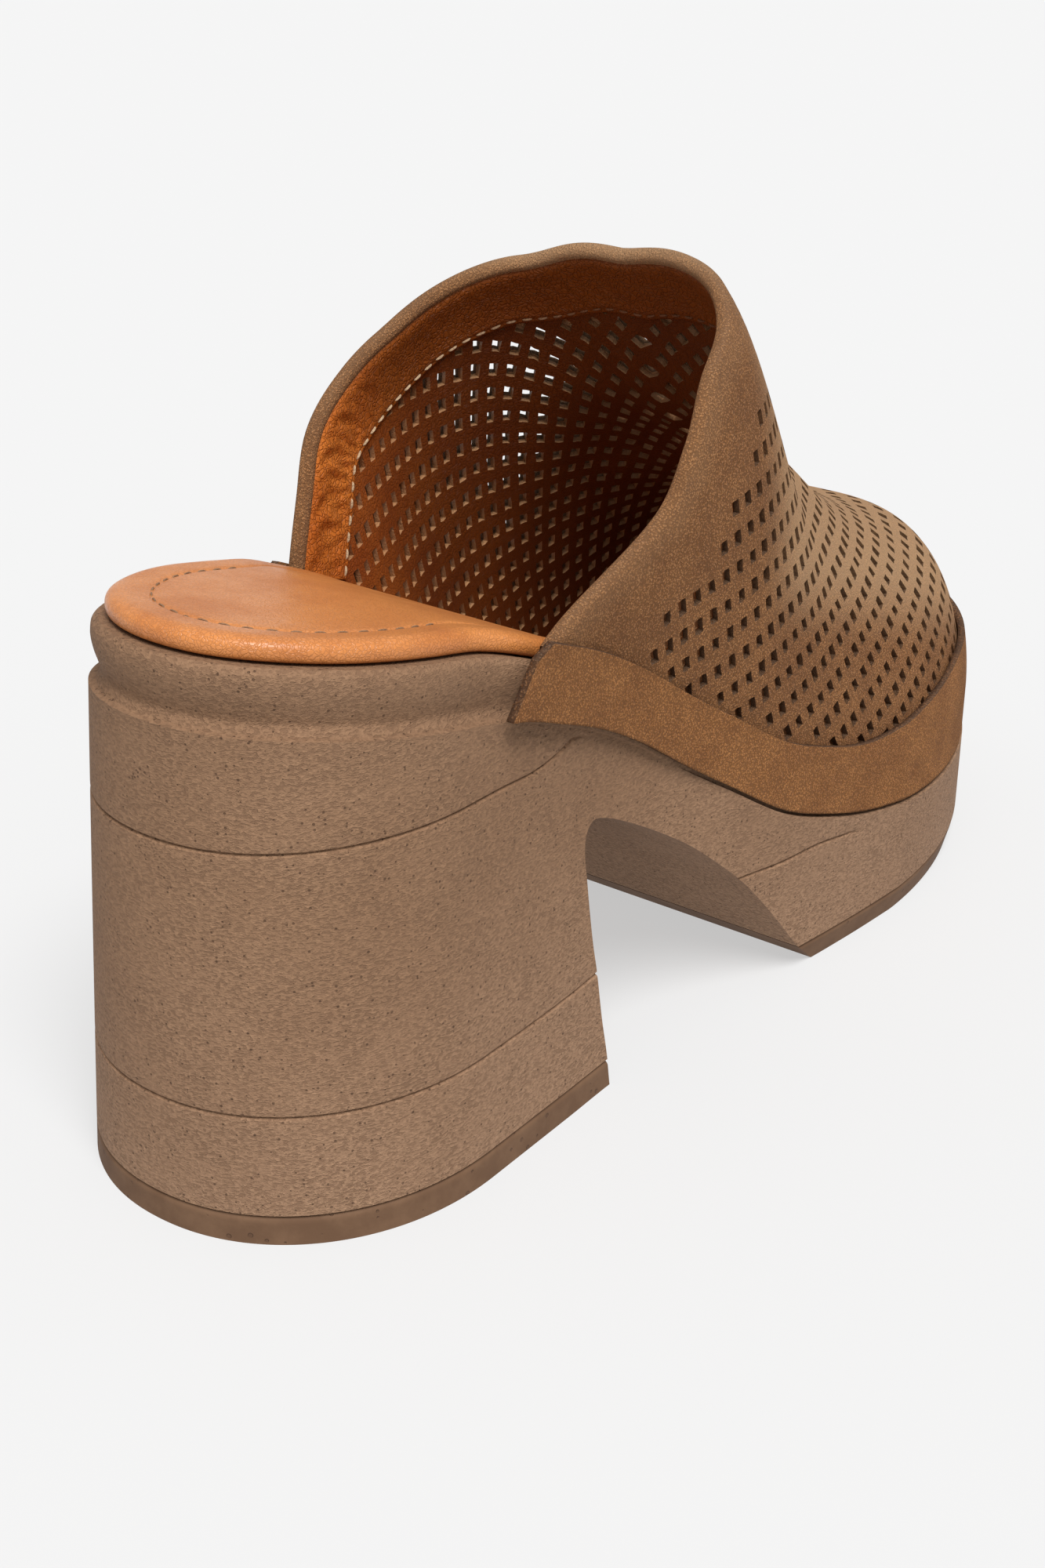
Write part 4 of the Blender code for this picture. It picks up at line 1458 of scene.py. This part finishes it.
def punched_layer(points, triangles, corners, top, bottom):
    """Layer of leather between two depths: both faces and the walls of its holes."""
    r, c = sheet_place(points)
    upper_face = sheet_point(r, c, np.full(len(r), top))
    lower_face = sheet_point(r, c, np.full(len(r), bottom))
    wall_r, wall_c = sheet_place(corners.reshape(-1, 2))
    rim_top = sheet_point(wall_r, wall_c, np.full(len(wall_r), top))
    rim_low = sheet_point(wall_r, wall_c, np.full(len(wall_r), bottom))
    count, rims = len(points), len(rim_top)
    first = 2 * count + 8 * np.arange(len(corners))[:, None]
    k = np.arange(8)[None, :]
    a, b = first + k, first + (k + 1) % 8
    walls = np.concatenate([np.stack([a, b, b + rims], axis=-1).reshape(-1, 3),
                            np.stack([a, b + rims, a + rims], axis=-1).reshape(-1, 3)])
    faces = np.concatenate([triangles[:, ::-1], triangles + count, walls[:, ::-1]])
    near = 1 - ramp(distance_to(points, edge_flat), 0.0, PLAIN_BAND)
    near = np.concatenate([near, near, np.zeros(2 * rims)])
    walled = np.repeat([0.0, 0.0, 1.0], [len(triangles), len(triangles), len(walls)])
    return np.concatenate([upper_face, lower_face, rim_top, rim_low]), faces, near, walled


# The suede stops one roll's radius inside the topline, counted in rows of the sheet
row_length = np.linalg.norm(pattern_at(np.full(EDGE_COUNT, 0.04), edge_c) - edge_flat, axis=1) / 0.04
edge_r = ROLL / row_length
suede_flat = punched_sheet(pattern_at(edge_r, edge_c), PLAIN_BAND, SUEDE_HALF)
suede_points, suede_faces, suede_near, suede_walled = punched_layer(*suede_flat, 0.0, SUEDE_DEPTH)

# %% [markdown]
# ## The rolled edge
#
# At the topline the suede isn't left as cut. It is thinned, folded over and glued, which leaves a
# round edge about 3 mm thick. Half a circle is swept along the topline, and a short hem goes down
# inside, where the facing covers it. Swept rings suit this better than a bevel, because the fold
# keeps the same radius all the way round.

# %% Rolled edge of the suede


def rolled_edge(turns=11):
    """Suede carried round the topline in half a circle, then a short way down the inside."""
    outer = sheet_point(edge_r, edge_c, np.zeros(EDGE_COUNT))
    inner = sheet_point(edge_r, edge_c, np.full(EDGE_COUNT, 2 * ROLL))
    normal = (outer - inner) / (2 * ROLL)
    way = np.gradient(outer, axis=0)
    way = way / np.linalg.norm(way, axis=1, keepdims=True)
    out = np.cross(normal, way)
    centre = (outer + inner) / 2
    lines = [centre + ROLL * (normal * np.cos(a) + out * np.sin(a)) for a in np.linspace(0, np.pi, turns)]
    lines += [inner - out * down + normal * down * 0.35 for down in (0.4 * MM, 0.9 * MM, 1.5 * MM)]
    return np.stack(lines)


roll = rolled_edge()
roll_faces = faces_of_grid(*roll.shape[:2], False)
roll_faces = np.concatenate([roll_faces[:, [0, 1, 2]], roll_faces[:, [0, 2, 3]]])
vamp = mesh_piece("vamp_suede", np.concatenate([suede_points, roll.reshape(-1, 3)]),
                  np.concatenate([suede_faces, roll_faces + len(suede_points)]), suede, False,
                  edge=np.concatenate([suede_near, np.ones(roll.shape[0] * roll.shape[1])]),
                  wall=np.concatenate([suede_walled, np.zeros(len(roll_faces))]))
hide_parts("upper")

# %% [markdown]
# ## The lining
#
# A smooth leather lies inside the suede and has the same lattice of holes. Its holes are slightly
# wider and have ragged corners of their own, so now and then a rim of suede shows through them.
# Just under the topline it stops, because the facing covers that strip.

# %% Lining with the same holes
LINING_START = 0.0048
LINING_TOP = SUEDE_DEPTH + 0.00005

lining_flat = punched_sheet(edge_line(LINING_START), COVERED_BAND, HOLE_HALF)
lining_points, lining_faces, _, lining_walled = punched_layer(*lining_flat, LINING_TOP, UPPER_WALL)
lining_piece = mesh_piece("vamp_lining", lining_points, lining_faces, lining, False, wall=lining_walled)
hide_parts("upper")

# %% [markdown]
# ## Facing and its stitches
#
# A band of smooth leather covers the lining's edge. It is turned in under the rolled suede, lies
# a little proud of the lining, and is sewn down along its inner edge. Where the topline bends
# most, at the two lower ends, the leather is gathered, so it wrinkles across the band.

# %% Facing
# Cross-section of the facing in millimetres: distance from the topline, depth under the outer face
FACING = ((1.9, 1.30), (1.7, 2.05), (2.1, 2.75), (3.0, 3.10), (4.6, 3.05), (7.0, 2.85), (9.6, 2.80),
          (11.4, 2.85), (12.4, 2.95), (13.0, 2.82), (13.5, 2.86), (13.95, 2.62), (14.1, 2.34))


def wrinkles(c, distance):
    """Depth of the gathers across the band: ridges that lean and fade, strongest at the lower ends."""
    place = c * EDGE_LENGTH
    bend = 1.6 * MM * np.sin(distance / (2.4 * MM) + 5 * c)
    ends = 0.12 + 0.88 * ramp(np.abs(c - 0.5), 0.28, 0.42)
    wave = np.sin((place + bend) / (0.62 * MM)) * 0.5
    wave = wave + np.sin((place - 0.7 * bend) / (0.41 * MM)) * 0.35
    wave = wave + 0.5 * np.sin((place + 2 * bend) / (1.15 * MM))
    fade = ramp(distance, 2.2 * MM, 4.5 * MM) * (1 - ramp(distance, 11.0 * MM, 12.6 * MM))
    return 0.36 * MM * wave * ends * fade


def facing_grid(columns=720, rows=34):
    """Grid of the facing: its cross-section swept along the topline, with the gathers pressed in."""
    c = np.linspace(0.0, 1.0, columns)
    lines = []
    for away, deep in profile(FACING, rows):
        away, deep = away * MM, deep * MM
        flat_line = edge_line(away)
        flat_line = np.stack([np.interp(c, edge_c, flat_line[:, axis]) for axis in (0, 1)], axis=1)
        r, column = sheet_place(flat_line)
        lines.append(sheet_point(r, column, deep + wrinkles(c, away)))
    return np.stack(lines)


facing_points = facing_grid()
facing_quads = faces_of_grid(*facing_points.shape[:2], False)
facing_c = np.tile(np.linspace(0.0, 1.0, facing_points.shape[1]), facing_points.shape[0])
# The depth value marks painted shade on the facing's middle; its two lower ends stay light.
facing = mesh_piece("facing", facing_points, facing_quads[:, ::-1], facing_leather, False,
                    depth=1 - ramp(np.abs(facing_c - 0.5), 0.27, 0.43))
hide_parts("upper")

# %% [markdown]
# ## Stitches along the facing
#
# The seam is one row of stitches just inside the facing's inner edge. Each stitch is a closed
# capsule of a few dozen faces, raised in its middle and sunk into the leather at both ends, as
# tight thread lies. Each takes the direction of the surface under it.

# %% Stitches along the facing
STITCH_PITCH = 0.0029
STITCH_LENGTH = 0.0021
THREAD = 0.00023


def stitch_row(path, up, pitch=STITCH_PITCH, length=STITCH_LENGTH, thick=THREAD):
    """Stitches along a path as small closed capsules, each sunk at both ends into the leather."""
    way = np.concatenate([[0.0], np.cumsum(np.linalg.norm(np.diff(path, axis=0), axis=1))])
    count = int(way[-1] / pitch)
    t = np.linspace(-1.0, 1.0, 7)
    place = (np.arange(count)[:, None] + 0.5) * way[-1] / count + length / 2 * t[None, :]
    spine = np.stack([np.interp(place, way, path[:, k]) for k in range(3)], axis=-1)
    lift = np.stack([np.interp(place, way, up[:, k]) for k in range(3)], axis=-1)
    spine = spine + lift * thick * (0.65 - 1.3 * np.abs(t) ** 2.5)[None, :, None]
    run = np.gradient(spine, axis=1)
    run = run / np.linalg.norm(run, axis=2, keepdims=True)
    side = np.cross(run, lift)
    girth = thick * np.sqrt(np.clip(1 - t**4, 0.0, 1.0))[None, :, None]
    turns = 2 * np.pi * np.arange(6) / 6
    rings = np.stack([spine + girth * (lift * np.cos(a) + side * np.sin(a)) for a in turns], axis=2)
    faces = (faces_of_grid(7, 6, True)[None] + 42 * np.arange(count)[:, None, None]).reshape(-1, 4)
    return rings.reshape(-1, 3), faces, np.repeat((np.arange(count) + 0.5) / count, 42)


def facing_seam(away=13.05 * MM, depth=2.84 * MM):
    """Path of the facing's stitches and the way up from it, into the shoe."""
    r, c = sheet_place(edge_line(away))
    path = sheet_point(r, c, np.full(EDGE_COUNT, depth))
    return path, (sheet_point(r, c, np.full(EDGE_COUNT, depth + MM)) - path) / MM


seam_points, seam_faces, seam_part = stitch_row(*facing_seam())
stitches = mesh_piece("facing_stitches", seam_points, seam_faces, thread, edge=seam_part)
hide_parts("upper")

# %% [markdown]
# ## Stitches round the insole's heel
#
# A second row lies in the pressed line of the insole, round the heel from waist to waist. The path
# uses the same functions as the insole, so it stays in the line at every size.

# %% Stitches round the insole's heel


def insole_seam():
    """Path of the pressed seam round the heel of the insole, from the waist round to the waist."""
    inset = float(insole_inset(REAR)) + INSOLE_HEEL * SEAM_PULL
    start = REAR + inset
    x = stations(start, along(0.20), 60, True, False)
    z = feather(x) + GAP + insole_thickness(x) * 0.885
    inset_at = insole_inset(x) + insole_thickness(x) * SEAM_PULL
    inset_at[0] = start - REAR
    outer = np.stack([x, outline(x, inset_at, -1), z], axis=-1)
    inner = np.stack([x, outline(x, inset_at, 1), z], axis=-1)
    path = np.concatenate([outer[::-1], inner[1:]])
    return path, np.tile([0.0, 0.0, 1.0], (len(path), 1))


heel_points, heel_faces, heel_part = stitch_row(*insole_seam(), pitch=0.0034, length=0.0022, thick=0.00017)
# The heel's stitches take one tone between the thread's painted shade and painted light.
heel_stitches = mesh_piece("insole_stitches", heel_points, heel_faces, thread, edge=0.64 + 0 * heel_part)
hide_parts("insole")

# %% [markdown]
# ## The rand
#
# The rand is a band of the same suede, wrapped over the joint of vamp and sole from one end of the
# collar round the toe to the other. Its lower part lies on the sole's seat and its upper part on
# the vamp, rising towards the toe. A grid of lines is laid on both, one small gap outside them.

# %% Lines and grid of the rand


def rand_rise(x):
    """Height of the rand's upper edge over the feather line: low at the waist, high at the toe."""
    return RAND_RISE + (RAND_TOE_RISE - RAND_RISE) * ramp(share(x), 0.60, 0.85)


def rand_start(level, side):
    """Where a line of the rand starts: its end leans from the band up to the topline."""
    lean = np.interp(level, (-1.0, 0.0, 1.0), (-0.0460, -0.0200, -0.0020))
    return along(TOPLINE[0][1 if side < 0 else 2] + lean)


def rand_line(level, count):
    """One line of the rand round the toe: level -1 to 0 on the sole's seat, 0 to 1 on the vamp."""
    steps = np.sin(np.pi / 2 * np.linspace(0.0, 1.0, count))
    tip = TIP - SEAT
    if level > 0:
        probe = np.linspace(along(0.90), TIP - SEAT, 600)
        tip = np.interp(0.0, level * rand_rise(probe) - upper_height(probe), probe)
    line = []
    for side in (-1, 1):
        start = rand_start(level, side)
        x = start + (tip - start) * steps
        if level > 0:
            part = np.clip(level * rand_rise(x) / upper_height(x), 0.0, 1.0)
            part[-1] = 1.0
            turn = np.arcsin(part ** (1 / CROWN_POWER))
            points = upper_point(x, turn if side < 0 else np.pi - turn)
        else:
            inset = np.minimum(rim_inset(x, 1 + level), seat_inset(x))
            inset[-1] = SEAT
            z = feather(x) + (BAND_WIDTH - 3 * GAP) * level
            points = np.stack([x, outline(x, inset, side), z], axis=-1)
        line.append(points if side < 0 else points[::-1][1:])
    return np.concatenate(line)


def unit_normals(grid):
    """Unit normals of a grid of points, from the cross product of its two gradients."""
    across = np.cross(np.gradient(grid, axis=0), np.gradient(grid, axis=1))
    return across / np.maximum(np.linalg.norm(across, axis=2, keepdims=True), 1e-12)


def rand_grid(levels, count=140):
    """Inner face of the rand, one gap outside the sole's seat and the vamp."""
    grid = np.stack([rand_line(level, count) for level in levels])
    normals = unit_normals(grid)
    middle = grid.shape[1] // 2
    if normals[len(levels) // 3, middle, 0] < 0:
        normals = -normals
    return grid + normals * GAP

# %% [markdown]
# ## The rand's thickness and cut edge
#
# The grid gets its thickness from a modifier that moves it outwards by the wall. The rim of that
# wall takes a material of its own, darker than its face: partly the cut edge's own tone, partly
# painted shade along the seam under it.

# %% Rand
RAND_LEVELS = np.linspace(-1.0, 1.0, 41)
band = rand_grid(RAND_LEVELS)
# Faint pale tone on the rand's upper edge: partly frayed nap, partly painted light.
rand_edge = np.repeat(0.4 * ramp(RAND_LEVELS, 0.90, 1.0), band.shape[1])
band_faces = faces_of_grid(*band.shape[:2], False)
rand = mesh_piece("suede_rand", band, band_faces, rand_suede, edge=rand_edge)
rand.data.materials.append(cut_edge_and_shade_suede)
wall = rand.modifiers.new("wall", "SOLIDIFY")
wall.material_offset_rim = 1
wall.thickness = RAND_WALL
wall.offset = 1.0
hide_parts("rand")
